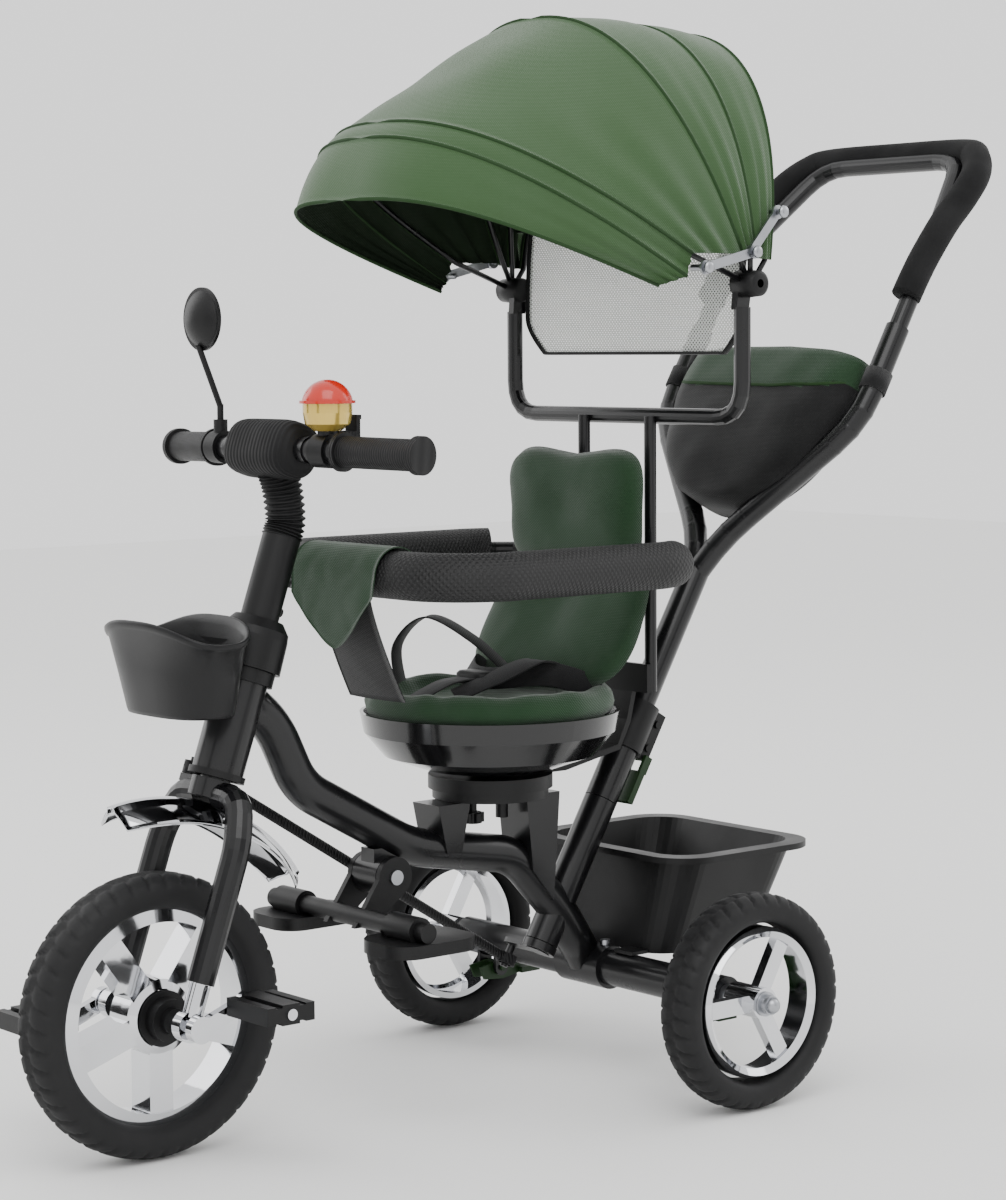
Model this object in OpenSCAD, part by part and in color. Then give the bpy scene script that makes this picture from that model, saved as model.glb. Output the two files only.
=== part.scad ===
// Children's push tricycle with a swivelling seat, folding canopy and steering push handle.
// Frame of reference: +Z up, +Y towards the rear, +X to the rider's left.
// The origin lies on the ground, midway under the rear axle.

/* [Wheels] */
// Diameter of the front tyre
front_d = 254; // [230:2:310]
// Width of the front tyre
front_tyre_w = 45; // [36:1:54]
// Diameter of the two rear tyres
rear_d = 203; // [180:1:244]
// Width of a rear tyre
rear_tyre_w = 42; // [35:1:50]
// Height of a tyre's wall, from rim to tread
tyre_wall = 30; // [24:1:36]
// Distance between the front and rear axles
wheelbase = 515; // [510:5:620]
// Distance between the centre planes of the rear wheels
rear_track = 453; // [420:1:540]

/* [Frame] */
// Lean of the steering axis, from vertical
rake = 19.5; // [15:0.5:24]
// Outside radius of the head tube
head_r = 23.5; // [20:0.5:28]
// Length of the head tube
head_len = 125; // [105:5:150]
// Radius of the spine tube
spine_r = 18; // [14:0.5:22]
// Radius of the rear axle beam
beam_r = 17.5; // [14:0.5:21]
// Radius of the rear axle rod
axle_r = 6; // [5:0.25:7.5]
// Lean of the push handle, from vertical
push_rake = 30.5; // [26:0.5:34]
// Radius of the push handle's shaft
shaft_r = 12; // [10:0.5:14]

/* [Steering] */
// Radius of the handlebar
bar_r = 11; // [9:0.5:13]
// Half length of the handlebar
bar_half = 186; // [160:2:224]
// Radius of a fork leg
leg_r = 12.5; // [10:0.5:15]
// Crank length
crank_len = 52; // [44:1:63]
// Sideways offset of the steering link from the centre plane
link_x = 39; // [32:1:45]
// Steering angle each way
steer_max = 30; // [15:1:30]

/* [Seat] */
// Outside radius of the seat shell
seat_r = 125; // [105:1:150]
// Height of the seat shell's underside
seat_z = 310; // [305:1:350]
// Depth of the seat shell
bowl_h = 56; // [46:1:68]
// Distance of the swivel axis ahead of the rear axle
seat_y = 127; // [120:1:150]
// Half width of the armrest ring, on its centre line
ring_half = 146; // [130:1:160]
// Height of the armrest ring
ring_z = 507; // [490:1:560]
// Outside radius of the armrest foam
foam_r = 22.5; // [18:0.5:26]

/* [Canopy] */
// Height of the canopy's hinge line
hinge_z = 770; // [750:1:850]
// Distance of the hinge line behind the rear axle
hinge_y = 50; // [46:1:60]
// Half width of the canopy's rear bow
bow_half = 172; // [168:1:180]
// Radius of the canopy frame's tube
hoop_r = 8; // [6.5:0.5:9]
// Thickness of the canopy cloth
cloth_t = 1.8; // [1.2:0.1:2.4]
// Thickness of a bow's flat steel
bow_t = 2.4; // [2:0.1:3]

/* [Push handle] */
// Half width between the two handle arms
arm_half = 142; // [120:1:160]
// Radius of the lower handle arms
arm_r = 12; // [10:0.5:14]
// Radius of the upper, sliding handle arms
inner_arm_r = 9.5; // [8:0.5:11]
// Radius of the handle's foam sleeve
grip_foam_r = 19; // [16:0.5:22]

/* [Fits] */
// Radial clearance of a shaft that turns in a bore
run_gap = 0.05; // [0.02:0.01:0.1]
// Gap between pieces that lie against each other
seat_gap = 0.3; // [0.2:0.05:0.5]
// Gap between pieces that pass each other as they move
pass_gap = 0.8; // [0.5:0.1:1.5]

/* [Hidden] */
$fn = 48;
X = [1, 0, 0];
Y = [0, 1, 0];
Z = [0, 0, 1];
front_z = front_d / 2;
rear_z = rear_d / 2;
wheel_x = rear_track / 2;
hub_half = 20;
beam_half = wheel_x - hub_half - 11;
rear_rim_r = rear_z - tyre_wall + 2;
front_rim_r = front_z - tyre_wall - 4;
head_low = front_z + 95;
head_high = head_low + head_len;
crown_w = front_z + 76;
bar_w = head_high + 166;
bar_u = -36;
bar_bend_x = 58.5;
steerer_r = 14;
leg_x = front_tyre_w / 2 + leg_r + 25;
leg_foot = 38;
crank_x = leg_x + leg_r + pass_gap + 4;
pedal_len = 62;
crank_tilt = 20;
push_y = -41;
push_z = 170;
sleeve_low = -46;
sleeve_high = 108;
sleeve_r = shaft_r + 4.5;
junction_t = 396;
collar_len = 84;
clamp_t = sleeve_high + pass_gap + collar_len - 28;
split_t = 560;
step_t = 648;
lever_t = sleeve_low - 10;
footrest_y = -261;
footrest_z = 222;
cheek_in = spine_r + pass_gap;
disc_z = seat_z - 14;
cloth_seam = 0.5;
canopy_pitch = bow_t + cloth_seam + cloth_t + pass_gap;
hinge_pin_r = 4;
bow_b = [14, -5, -26, -64];
bow_h = [256, 264, 282, 334];
back_y = 9;
swivel_y = seat_y - 14;
hoop_half = bow_half - 4;
hoop_y = 47;
hoop_z = 644;
pad_top = seat_z + bowl_h + 20;
guard_r = front_z + 62;
link_w = front_z + 87.6;

// ---- Shared shapes -------------------------------------------------------

function unit(v) = v / norm(v);

// Point at u behind and w along the steering axis, x to the side.
function steer_pt(x, u, w) = [
    x,
    -wheelbase + u * cos(rake) + w * sin(rake),
    front_z - u * sin(rake) + w * cos(rake)
];

// Point at t along the push handle's axis, x to the side, s behind it.
function push_pt(x, s, t) = [
    x,
    push_y + s * cos(push_rake) + t * sin(push_rake),
    push_z - s * sin(push_rake) + t * cos(push_rake)
];

// Rounds each corner of a path, cutting it at the given distance.
function bend(p, cut, n = 4) = [
    p[0],
    for (i = [1 : len(p) - 2])
        let (a = p[i] + cut * unit(p[i - 1] - p[i]))
        let (b = p[i] + cut * unit(p[i + 1] - p[i]))
        for (k = [0 : n])
            let (t = k / n)
            (1 - t) * (1 - t) * a + 2 * t * (1 - t) * p[i] + t * t * b,
    p[len(p) - 1]
];

function flip_x(p) = [-p[0], p[1], p[2]];

// Places children in the steering frame, with z along the steering axis.
module steer_frame() {
    translate([0, -wheelbase, front_z])
        rotate([-rake, 0, 0])
            children();
}

// Places children in the push handle's frame, with z along its axis.
module push_frame() {
    translate([0, push_y, push_z])
        rotate([-push_rake, 0, 0])
            children();
}

// Round bar between two points.
module bar(p, q, r) {
    d = q - p;
    l = norm(d);
    translate(p)
        rotate([0, acos(d[2] / l), atan2(d[1], d[0])])
            cylinder(h = l, r = r);
}

// Round bar along X, from x = a to x = b.
module cross_bar(a, b, y, z, r) {
    translate([a, y, z])
        rotate([0, 90, 0])
            cylinder(h = b - a, r = r);
}

// Round bar along a path, with a ball at each turn.
module pipe(p, r) {
    for (i = [0 : len(p) - 2])
        bar(p[i], p[i + 1], r);
    for (i = [1 : len(p) - 2])
        translate(p[i])
            sphere(r = r + 0.2);
}

// Tube swept along a path. ref is square to the path's plane; ri > 0 makes it hollow.
module sweep(path, r, ref = X, ri = 0, closed = false, n = 16) {
    m = len(path);
    radii = ri > 0 ? [r, ri] : [r];
    rings = [
        for (rad = radii)
            for (i = [0 : m - 1])
                let (a = path[closed ? (i + m - 1) % m : max(i - 1, 0)])
                let (b = path[closed ? (i + 1) % m : min(i + 1, m - 1)])
                let (t = unit(b - a))
                let (u = unit(cross(ref, t)))
                let (v = cross(t, u))
                for (k = [0 : n - 1])
                    path[i] + rad * (u * cos(360 * k / n) + v * sin(360 * k / n))
    ];
    spans = closed ? m : m - 1;
    function id(s, i, k) = s * m * n + (i % m) * n + k % n;
    outer = [
        for (i = [0 : spans - 1])
            for (k = [0 : n - 1])
                for (f = [
                    [id(0, i, k), id(0, i + 1, k), id(0, i + 1, k + 1)],
                    [id(0, i, k), id(0, i + 1, k + 1), id(0, i, k + 1)]
                ]) f
    ];
    inner = ri > 0 ? [
        for (i = [0 : spans - 1])
            for (k = [0 : n - 1])
                for (f = [
                    [id(1, i, k), id(1, i + 1, k + 1), id(1, i + 1, k)],
                    [id(1, i, k), id(1, i, k + 1), id(1, i + 1, k + 1)]
                ]) f
    ] : [];
    caps = closed ? [] : ri > 0 ? [
        for (k = [0 : n - 1])
            for (f = [
                [id(0, 0, k), id(0, 0, k + 1), id(1, 0, k + 1)],
                [id(0, 0, k), id(1, 0, k + 1), id(1, 0, k)],
                [id(0, m - 1, k + 1), id(0, m - 1, k), id(1, m - 1, k)],
                [id(0, m - 1, k + 1), id(1, m - 1, k), id(1, m - 1, k + 1)]
            ]) f
    ] : [
        [for (k = [0 : n - 1]) k],
        [for (k = [n - 1 : -1 : 0]) (m - 1) * n + k]
    ];
    polyhedron(points = rings, faces = concat(outer, inner, caps));
}

// Flat plate of a 2D outline in the YZ plane, from x = a to x = b.
module side_plate(a, b) {
    translate([a, 0, 0])
        rotate([90, 0, 90])
            linear_extrude(b - a)
                children();
}

// Rectangle with round corners.
module rounded(w, l, r) {
    for (sx = [-1, 1])
        for (sy = [-1, 1])
            translate([sx * (w / 2 - r), sy * (l / 2 - r)])
                circle(r);
    square([w - 2 * r, l], center = true);
    square([w, l - 2 * r], center = true);
}

// ---- Frame ---------------------------------------------------------------

// Centre line of the spine, from the head tube down to the rear beam.
function spine_path() =
    let (top = steer_pt(0, 0, head_low + 72))
    let (neck = steer_pt(0, 62, head_low + 8))
    bend([
        top,
        top + [0, 36, -30],
        neck + [0, 28, -10],
        [0, -225, 243],
        [0, -100, 222],
        [0, -40, 158],
        [0, -8, rear_z + 6]
    ], 22, 3);

// Painted steel weldment: head tube, spine, handle sleeve, seat posts and pivots.
module main_frame() {
    color("#26272a")
        difference() {
            union() {
                steer_frame()
                    translate([0, 0, head_low])
                        cylinder(h = head_len, r = head_r);
                sweep(spine_path(), spine_r);
                push_frame()
                    translate([0, 0, sleeve_low])
                        cylinder(h = sleeve_high - sleeve_low, r = sleeve_r);
                cross_bar(-32, 32, 0, rear_z, beam_r + 4);
                // front seat post, wider at the top
                side_plate(-20, 20)
                    polygon([[-196, 236], [-178, 236], [-168, disc_z - 14], [-206, disc_z - 14]]);
                // rear seat post, a boxed upright
                side_plate(-22, 22)
                    polygon([[-92, 208], [-66, 176], [-58, disc_z - 14], [-100, disc_z - 14]]);
                cross_bar(-spine_r, spine_r, footrest_y, footrest_z, 19);
                side_plate(-10, 10)
                    translate([footrest_y - 14, footrest_z])
                        square([28, 26]);
            }
            steer_frame()
                translate([0, 0, head_low - 60])
                    cylinder(h = head_len + 120, r = head_r - 4);
            push_frame()
                translate([0, 0, sleeve_low - 20])
                    cylinder(h = sleeve_high - sleeve_low + 40, r = shaft_r + run_gap);
            cross_bar(-40, 40, 0, rear_z, beam_r + run_gap);
            cross_bar(-40, 40, footrest_y, footrest_z, 4 + run_gap);
        }
}

brake_x = 147;
brake_y = -6;
brake_z = rear_z - beam_r - 8;

// Steel tube across the rear, held in the frame's saddle, with ears for the brakes.
module rear_axle_beam() {
    color("#26272a")
        difference() {
            union() {
                cross_bar(-beam_half, beam_half, 0, rear_z, beam_r);
                for (s = [-1, 1])
                    for (e = [-13, 13])
                        translate([s * brake_x + e, 0, 0]) {
                            cross_bar(-2, 2, brake_y, brake_z, 8);
                            side_plate(-2, 2)
                                translate([brake_y - 8, brake_z])
                                    square([16, 14]);
                        }
            }
            cross_bar(-beam_half - 1, beam_half + 1, 0, rear_z, axle_r + run_gap);
            for (s = [-1, 1])
                cross_bar(s * brake_x - 20, s * brake_x + 20, brake_y, brake_z, 3 + run_gap);
        }
}

// Foot brake lever: cheeks on a pin, a tread behind.
module brake(side) {
    tread_y = brake_y + 30;
    color("#2f4127")
        translate([side * brake_x, 0, 0]) {
            cross_bar(-18, 18, brake_y, brake_z, 3);
            for (e = [-8, 8])
                side_plate(e - 1.5, e + 1.5)
                    polygon([
                        [brake_y - 24, brake_z + 2],
                        [brake_y - 18, brake_z - 11],
                        [brake_y + 6, brake_z - 13],
                        [tread_y, brake_z - 9],
                        [tread_y, brake_z - 3],
                        [brake_y + 9, brake_z + 4],
                        [brake_y, brake_z + 6]
                    ]);
            translate([-16, tread_y - 4, brake_z - 9])
                cube([32, 24, 6]);
        }
}

module left_brake() {
    brake(1);
}

module right_brake() {
    brake(-1);
}

// Steel rod that carries both rear wheels.
module rear_axle_rod() {
    end = wheel_x + hub_half + 12;
    color("silver")
        cross_bar(-end, end, 0, rear_z, axle_r);
}

// Spacers beside the beam, dome nuts on the axle rod, beam bolts and the footrest's pivot bolt.
module fasteners() {
    len = wheel_x - hub_half - 2 * seat_gap - beam_half;
    nut = wheel_x + hub_half + seat_gap;
    pivot_end = cheek_in + 6 + seat_gap;
    color("silver") {
        for (s = [0, 1])
            mirror([s, 0, 0]) {
                difference() {
                    cross_bar(beam_half + seat_gap, beam_half + seat_gap + len, 0, rear_z, 11);
                    cross_bar(0, rear_track, 0, rear_z, axle_r + run_gap);
                }
                difference() {
                    union() {
                        cross_bar(nut, nut + 2, 0, rear_z, 11.5);
                        cross_bar(nut + 1.5, nut + 9, 0, rear_z, 9);
                        translate([nut + 9, 0, rear_z])
                            sphere(r = 7.6);
                    }
                    cross_bar(0, nut + 13, 0, rear_z, axle_r + run_gap);
                }
                translate([22, 0, rear_z + beam_r + 4.1])
                    cylinder(h = 5, r = 5);
                cross_bar(pivot_end, pivot_end + 2.2, footrest_y, footrest_z, 7);
            }
        cross_bar(-pivot_end - 1, pivot_end + 1, footrest_y, footrest_z, 4);
    }
}

// Bearing cups pressed in the head tube's ends, and the plastic collar over the upper one.
module head_set() {
    color("#1c1c1c")
        steer_frame() {
            for (e = [[head_low, 1], [head_high, 0]])
                translate([0, 0, e[0]])
                    mirror([0, 0, e[1]])
                        difference() {
                            union() {
                                translate([0, 0, -12])
                                    cylinder(h = 12.5, r = head_r - 4 - run_gap);
                                translate([0, 0, run_gap])
                                    cylinder(h = 6, r = head_r + 2.5);
                            }
                            translate([0, 0, -20])
                                cylinder(h = 40, r = steerer_r + run_gap);
                        }
            translate([0, 0, head_high - 29])
                rotate_extrude()
                    polygon([
                        [head_r + seat_gap, 0],
                        [head_r + 8, 0],
                        [head_r + 7, 30],
                        [head_r + 6, 37],
                        [head_r - 1, 46],
                        [head_r - 4, 46],
                        [head_r + 3, 36.5],
                        [head_r + 3, 30],
                        [head_r + seat_gap, 24]
                    ]);
        }
}

// Fixed plate under the seat, on the two posts, with the lock screw's boss.
module swivel_base() {
    color("#1c1c1c")
        translate([0, -seat_y, disc_z - 14])
            difference() {
                translate([0, 0, seat_gap])
                    cylinder(h = 9, r = 56);
                translate([0, seat_y - swivel_y, -20])
                    cylinder(h = 50, r = axle_r + run_gap);
                translate([0, -22, -20])
                    cylinder(h = 50, r = 4 + run_gap);
            }
}

// Star knob that locks the seat's turn, screwed up through the fixed plate.
module lock_knob() {
    color("#1c1c1c")
        translate([0, -seat_y - 22, disc_z - 14]) {
            translate([0, 0, -20])
                cylinder(h = 28, r = 4);
            translate([0, 0, -24])
                cylinder(h = 11, r = 8);
            for (a = [0 : 72 : 288])
                rotate([0, 0, a])
                    translate([7.5, 0, -23])
                        cylinder(h = 9, r = 4);
        }
}

// Moulded storage tub behind the seat, with a wide flange.
module rear_basket() {
    low = rear_z + beam_r + seat_gap;
    rim = low + 98;
    color("#2b2b2e")
        difference() {
            union() {
                hull() {
                    translate([0, 84, low])
                        linear_extrude(1)
                            rounded(172, 140, 28, $fn = 32);
                    translate([0, 108, rim - 6])
                        linear_extrude(1)
                            rounded(212, 170, 36, $fn = 32);
                }
                translate([0, 108, rim - 6])
                    linear_extrude(6)
                        rounded(242, 196, 44);
                for (s = [-1, 1])
                    translate([s * 55 - 13, -6, low])
                        cube([26, 30, 3.4]);
            }
            hull() {
                translate([0, 84, low + 3.5])
                    linear_extrude(1)
                        rounded(164, 132, 25, $fn = 32);
                translate([0, 108, rim + 1])
                    linear_extrude(1)
                        rounded(206, 164, 34, $fn = 32);
            }
        }
}

// Moulded front basket with a thick lip.
module front_basket() {
    back = head_basket_y() - 29;
    top = steer_pt(0, 0, head_low + 130)[2] + 18;
    color("#2b2b2e")
        difference() {
            union() {
                hull() {
                    translate([0, back - 42, top - 86])
                        linear_extrude(1)
                            rounded(122, 66, 28, $fn = 32);
                    translate([0, back - 47, top - 4])
                        linear_extrude(1)
                            rounded(158, 92, 40, $fn = 32);
                }
                translate([0, back - 46, top - 11])
                    linear_extrude(11)
                        rounded(164, 98, 44);
            }
            hull() {
                translate([0, back - 42, top - 82])
                    linear_extrude(1)
                        rounded(115, 59, 25, $fn = 32);
                translate([0, back - 47, top + 1])
                    linear_extrude(1)
                        rounded(152, 86, 38, $fn = 32);
            }
        }
}

// Y of the head tube's axis where the basket bracket clamps it.
function head_basket_y() = steer_pt(0, 0, head_low + 88)[1];

// Steel clamp that carries the front basket on the head tube.
module basket_bracket() {
    back = head_basket_y() - 29;
    pad_z = steer_pt(0, 0, head_low + 130)[2] - 20;
    color("#1c1c1c")
        difference() {
            union() {
                steer_frame()
                    translate([0, 0, head_high - 41.5])
                        cylinder(h = 12, r = head_r + 4);
                translate([-24, back - 2.2, pad_z - 24])
                    cube([48, 4.2, 42]);
                translate([-12, back + 1, pad_z - 24])
                    cube([24, 20, 12]);
            }
            steer_frame()
                translate([0, 0, head_low - 10])
                    cylinder(h = head_len + 20, r = head_r + run_gap);
        }
}

// ---- Steering assembly ---------------------------------------------------

// Steel fork: steerer, crown and two bent legs, with the arm for the steering link.
module fork() {
    color("#26272a")
        steer_frame() {
            translate([0, 0, crown_w])
                cylinder(h = head_high + 32 - crown_w, r = steerer_r);
            translate([0, 0, crown_w - 6])
                cylinder(h = head_low - 2 - crown_w, r = 21);
            for (s = [-1, 1])
                sweep(bend([
                    [s * 14, 0, crown_w - 1.5],
                    [s * (leg_x - 15), 0, crown_w - 3.5],
                    [s * leg_x, 0, crown_w - 42],
                    [s * leg_x, 0, leg_foot]
                ], 14, 3), leg_r, ref = Y);
            // arm to the steering link's ball stud
            translate([-link_x - 7, -7, link_w - 7])
                cube([28, 14, 7]);
            translate([-link_x, 0, link_w - 1])
                cylinder(h = 17, r = 4);
        }
}

// Plated ends of the fork legs, with the axle's bores.
module fork_ends() {
    color("silver")
        for (s = [-1, 1])
            difference() {
                union() {
                    steer_frame()
                        translate([s * leg_x, 0, 8])
                            cylinder(h = leg_foot - 8 - seat_gap, r = leg_r - 3);
                    cross_bar(s * leg_x - 6, s * leg_x + 6, -wheelbase, front_z, 14);
                }
                cross_bar(s * leg_x - 20, s * leg_x + 20, -wheelbase, front_z, axle_r + run_gap);
            }
}

// Bright curved guard over the front wheel, under the fork's crown.
module mudguard() {
    foot = crown_w - 6 - seat_gap;
    color("#d8d8dc")
        steer_frame()
            difference() {
                union() {
                    rotate([0, 90, 0])
                        rotate([0, 0, 180 - 30])
                            translate([0, 0, -34])
                                rotate_extrude(angle = 66)
                                    polygon([
                                        [guard_r - 16, 0],
                                        [guard_r - 5, 15],
                                        [guard_r, 34],
                                        [guard_r - 5, 53],
                                        [guard_r - 16, 68],
                                        [guard_r - 13.5, 68],
                                        [guard_r - 2.4, 54],
                                        [guard_r + 2.5, 34],
                                        [guard_r - 2.4, 14],
                                        [guard_r - 13.5, 0]
                                    ]);
                    translate([0, 0, guard_r + 1])
                        cylinder(h = foot - guard_r - 1, r = 12);
                }
                translate([0, 0, guard_r - 16])
                    cylinder(h = 15.5, r = 30);
            }
}

stem_low = head_high + 6 + seat_gap;
neck_w = stem_low + 88;
function neck_path() = [
    [0, 0, neck_w - 6],
    [0, -1, neck_w + 16],
    [0, bar_u * 0.4, neck_w + 42],
    [0, bar_u, bar_w - 4]
];

// Gooseneck stem: sleeve on the steerer and a neck up to the bar.
module stem() {
    color("#1c1c1c")
        steer_frame()
            difference() {
                union() {
                    translate([0, 0, stem_low])
                        cylinder(h = neck_w - stem_low, r = 17.5);
                    sweep(neck_path(), 12);
                    translate([0, bar_u, bar_w])
                        rotate([0, 90, 0])
                            cylinder(h = 44, r = bar_r + 5, center = true);
                    for (k = [0, 1])
                        translate([0, 0, stem_low + 22 + 28 * k])
                            rotate([-90, 0, 0])
                                cylinder(h = 21, r = 4);
                }
                translate([0, 0, stem_low - 1])
                    cylinder(h = 30, r = steerer_r + run_gap);
                translate([0, bar_u, bar_w])
                    rotate([0, 90, 0])
                        cylinder(h = 60, r = bar_r + run_gap, center = true);
            }
}

// Ribbed rubber bellows over the stem's neck.
module stem_bellows() {
    p = neck_path();
    start = [0, -0.3, neck_w + 1.2];
    color("#2a2a2a")
        steer_frame()
            sweep([start, p[1], p[2] - [0, bar_u * 0.04, 3]], 18, ri = 13.5);
}

// Steel handlebar, its ends swept back.
module handlebar() {
    color("#26272a")
        steer_frame() {
            translate([0, bar_u, bar_w])
                rotate([0, 90, 0])
                    cylinder(h = 2 * bar_bend_x, r = bar_r, center = true);
            for (s = [-1, 1]) {
                bar([s * bar_bend_x, bar_u, bar_w], [s * bar_half, bar_u + 24, bar_w + 6], bar_r);
                translate([s * bar_bend_x, bar_u, bar_w])
                    rotate([0, 90, 0])
                        cylinder(h = 6, r = bar_r + 1.2, center = true);
            }
        }
}

// Padded cover around the middle of the handlebar.
module bar_cover() {
    color("#2a2a2a")
        steer_frame()
            translate([0, bar_u, bar_w])
                difference() {
                    rotate([0, 90, 0])
                        cylinder(h = 96, r = 25, center = true);
                    rotate([0, 90, 0])
                        cylinder(h = 100, r = bar_r + 5 + seat_gap, center = true);
                    bar([0, 0, -4], [0, 40, -51.6], 13);
                }
}

// Rubber hand grips with a flange at each end.
module hand_grips() {
    color("#232323")
        steer_frame()
            for (s = [-1, 1]) {
                dir = unit([s * (bar_half - bar_bend_x), 24, 6]);
                tip = [s * bar_half, bar_u + 24, bar_w + 6];
                start = tip - dir * 92;
                difference() {
                    union() {
                        bar(start, tip + dir * 4, 14);
                        bar(start, start + dir * 5, 17.5);
                        bar(tip - dir * 3, tip + dir * 4, 17);
                    }
                    bar(start - dir * 5, tip + dir * 0.3, bar_r + run_gap);
                }
            }
}

bell_x = 76;
bell_u = bar_u + 4;
bell_w = bar_w + bar_r;

// Places children at the bell, standing upright on the bar.
module bell_frame() {
    translate(steer_pt(bell_x, bell_u, bell_w))
        children();
}

// Clamps on the bar, of the bell and of the mirror.
module bar_clamps() {
    bell_clamp();
    mirror_clamp();
}

module bell_clamp() {
    color("#1c1c1c")
        difference() {
            union() {
                steer_frame()
                    bar(
                        [bell_x - 9, bar_u + 3, bar_w + 0.8],
                        [bell_x + 9, bar_u + 6, bar_w + 1.5],
                        bar_r + 4
                    );
                bell_frame()
                    translate([0, 0, 0])
                        cylinder(h = 8, r = 9);
                bell_frame()
                    translate([-4, 10, 2])
                        cube([8, 14, 6]);
            }
            steer_frame()
                bar([bar_bend_x, bar_u, bar_w], [bar_half, bar_u + 24, bar_w + 6], bar_r + run_gap);
            bell_frame()
                translate([-10, 18, 5])
                    rotate([0, 90, 0])
                        cylinder(h = 20, r = 1.5 + run_gap);
        }
}

// Yellow lower bowl of the bell.
module bell_bowl() {
    color("#e0b030")
        bell_frame()
            translate([0, 0, 8 + seat_gap])
                rotate_extrude()
                    polygon([[0, 0], [12, 0], [20, 6], [22, 16], [22, 24], [0, 24]]);
}

// Red dome of the bell, with a small brim and a stripe.
module bell_dome() {
    color("#d12f1a")
        bell_frame()
            translate([0, 0, 32 + 2 * seat_gap]) {
                cylinder(h = 2.5, r = 25);
                intersection() {
                    translate([0, 0, -2])
                        sphere(r = 23);
                    translate([-30, -30, 0])
                        cube([60, 60, 30]);
                }
            }
}

// Thumb lever of the bell.
module bell_lever() {
    color("#1c1c1c")
        bell_frame() {
            translate([0, 18, 5])
                rotate([0, 90, 0])
                    cylinder(h = 17, r = 1.5, center = true);
            for (s = [-1, 1])
                translate([s * 6.8 - 1.7, 14.5, 2.5])
                    cube([3.4, 15, 5]);
            translate([-8.5, 25.5, 2.5])
                cube([17, 4, 16]);
            translate([-8.5, 25.5, 18])
                cube([17, 5.2, 4]);
        }
}

mirror_x = -85;
mirror_lean = -17;

// Clamp of the mirror's stalk, with the socket for its foot.
module mirror_clamp() {
    color("#1c1c1c")
        difference() {
            union() {
                steer_frame()
                    bar(
                        [mirror_x - 8, bar_u + 3, bar_w + 0.8],
                        [mirror_x + 8, bar_u + 3, bar_w + 0.8],
                        bar_r + 4
                    );
                translate(steer_pt(mirror_x, bar_u + 3, bar_w))
                    cylinder(h = 26, r = 6.5);
            }
            steer_frame()
                bar([-bar_bend_x, bar_u, bar_w], [-bar_half, bar_u + 24, bar_w + 6], bar_r + run_gap);
            translate(steer_pt(mirror_x, bar_u + 3, bar_w))
                translate([0, 0, 17])
                    cylinder(h = 20, r = 3 + run_gap);
        }
}

// Mirror: stalk and round back shell with two small ears.
module mirror_body() {
    head = 118;
    color("#1c1c1c")
        translate(steer_pt(mirror_x, bar_u + 3, bar_w)) {
            bar([0, 0, 17.3], [0, 0, 40], 3);
            bar([0, 0, 38], [0, mirror_lean - 6, head - 24], 2.8);
            translate([0, mirror_lean, head])
                difference() {
                    union() {
                        intersection() {
                            translate([0, 22, 0])
                                sphere(r = 36);
                            translate([-40, -20, -40])
                                cube([80, 20, 80]);
                        }
                        rotate([90, 0, 0])
                            cylinder(h = 3, r = 29);
                    }
                    translate([0, 0.5, 0])
                        rotate([90, 0, 0])
                            cylinder(h = 2, r = 26.3);
                }
        }
}

// Mirror glass, let into the shell's rear face.
module mirror_glass() {
    color("#c8d0d4")
        translate(steer_pt(mirror_x, bar_u + 3, bar_w))
            translate([0, mirror_lean + 0.2, 118])
                rotate([90, 0, 0])
                    cylinder(h = 1.5, r = 26);
}

// ---- Wheels --------------------------------------------------------------

// Profile of a tyre, open towards the rim.
module tyre_profile(r, w, wall) {
    h = w / 2;
    polygon([
        [r - wall, -h + 9],
        [r - wall + 6, -h + 3],
        [r - wall * 0.45, -h],
        [r - 8, -h + 1.5],
        [r - 2, -h + 8],
        [r, -h + 15],
        [r, h - 15],
        [r - 2, h - 8],
        [r - 8, h - 1.5],
        [r - wall * 0.45, h],
        [r - wall + 6, h - 3],
        [r - wall, h - 9]
    ]);
}

// Solid foam tyre about the X axis, at the centre plane x.
module tyre(x, y, z, w) {
    color("#3a3a3a")
        translate([x, y, z])
            rotate([0, 90, 0])
                rotate_extrude($fn = 96)
                    tyre_profile(z, w, tyre_wall);
}

// Plated rear rim: channel, three spokes and a hub with the axle's bore.
module rear_rim(side) {
    color("#d8d8dc")
        translate([side * wheel_x, 0, rear_z])
            rotate([0, 90 * side, 0])
                difference() {
                    union() {
                        rotate_extrude($fn = 96)
                            polygon([
                                [rear_rim_r - 8, -14],
                                [rear_rim_r - 2 - seat_gap, -14],
                                [rear_rim_r - 2 - seat_gap, 14],
                                [rear_rim_r - 6, 19],
                                [rear_rim_r - 12, 14],
                                [rear_rim_r - 8, 10]
                            ]);
                        for (a = [30, 150, 270])
                            rotate([0, 0, a])
                                translate([10, -8, 2])
                                    cube([rear_rim_r - 17, 16, 10]);
                        translate([0, 0, -hub_half])
                            cylinder(h = 2 * hub_half, r = 15);
                    }
                    translate([0, 0, -40])
                        cylinder(h = 80, r = axle_r + run_gap);
                }
}

module front_tyre() {
    tyre(0, -wheelbase, front_z, front_tyre_w);
}

module left_rear_tyre() {
    tyre(wheel_x, 0, rear_z, rear_tyre_w);
}

module right_rear_tyre() {
    tyre(-wheel_x, 0, rear_z, rear_tyre_w);
}

module left_rear_rim() {
    rear_rim(1);
}

module right_rear_rim() {
    rear_rim(-1);
}

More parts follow.
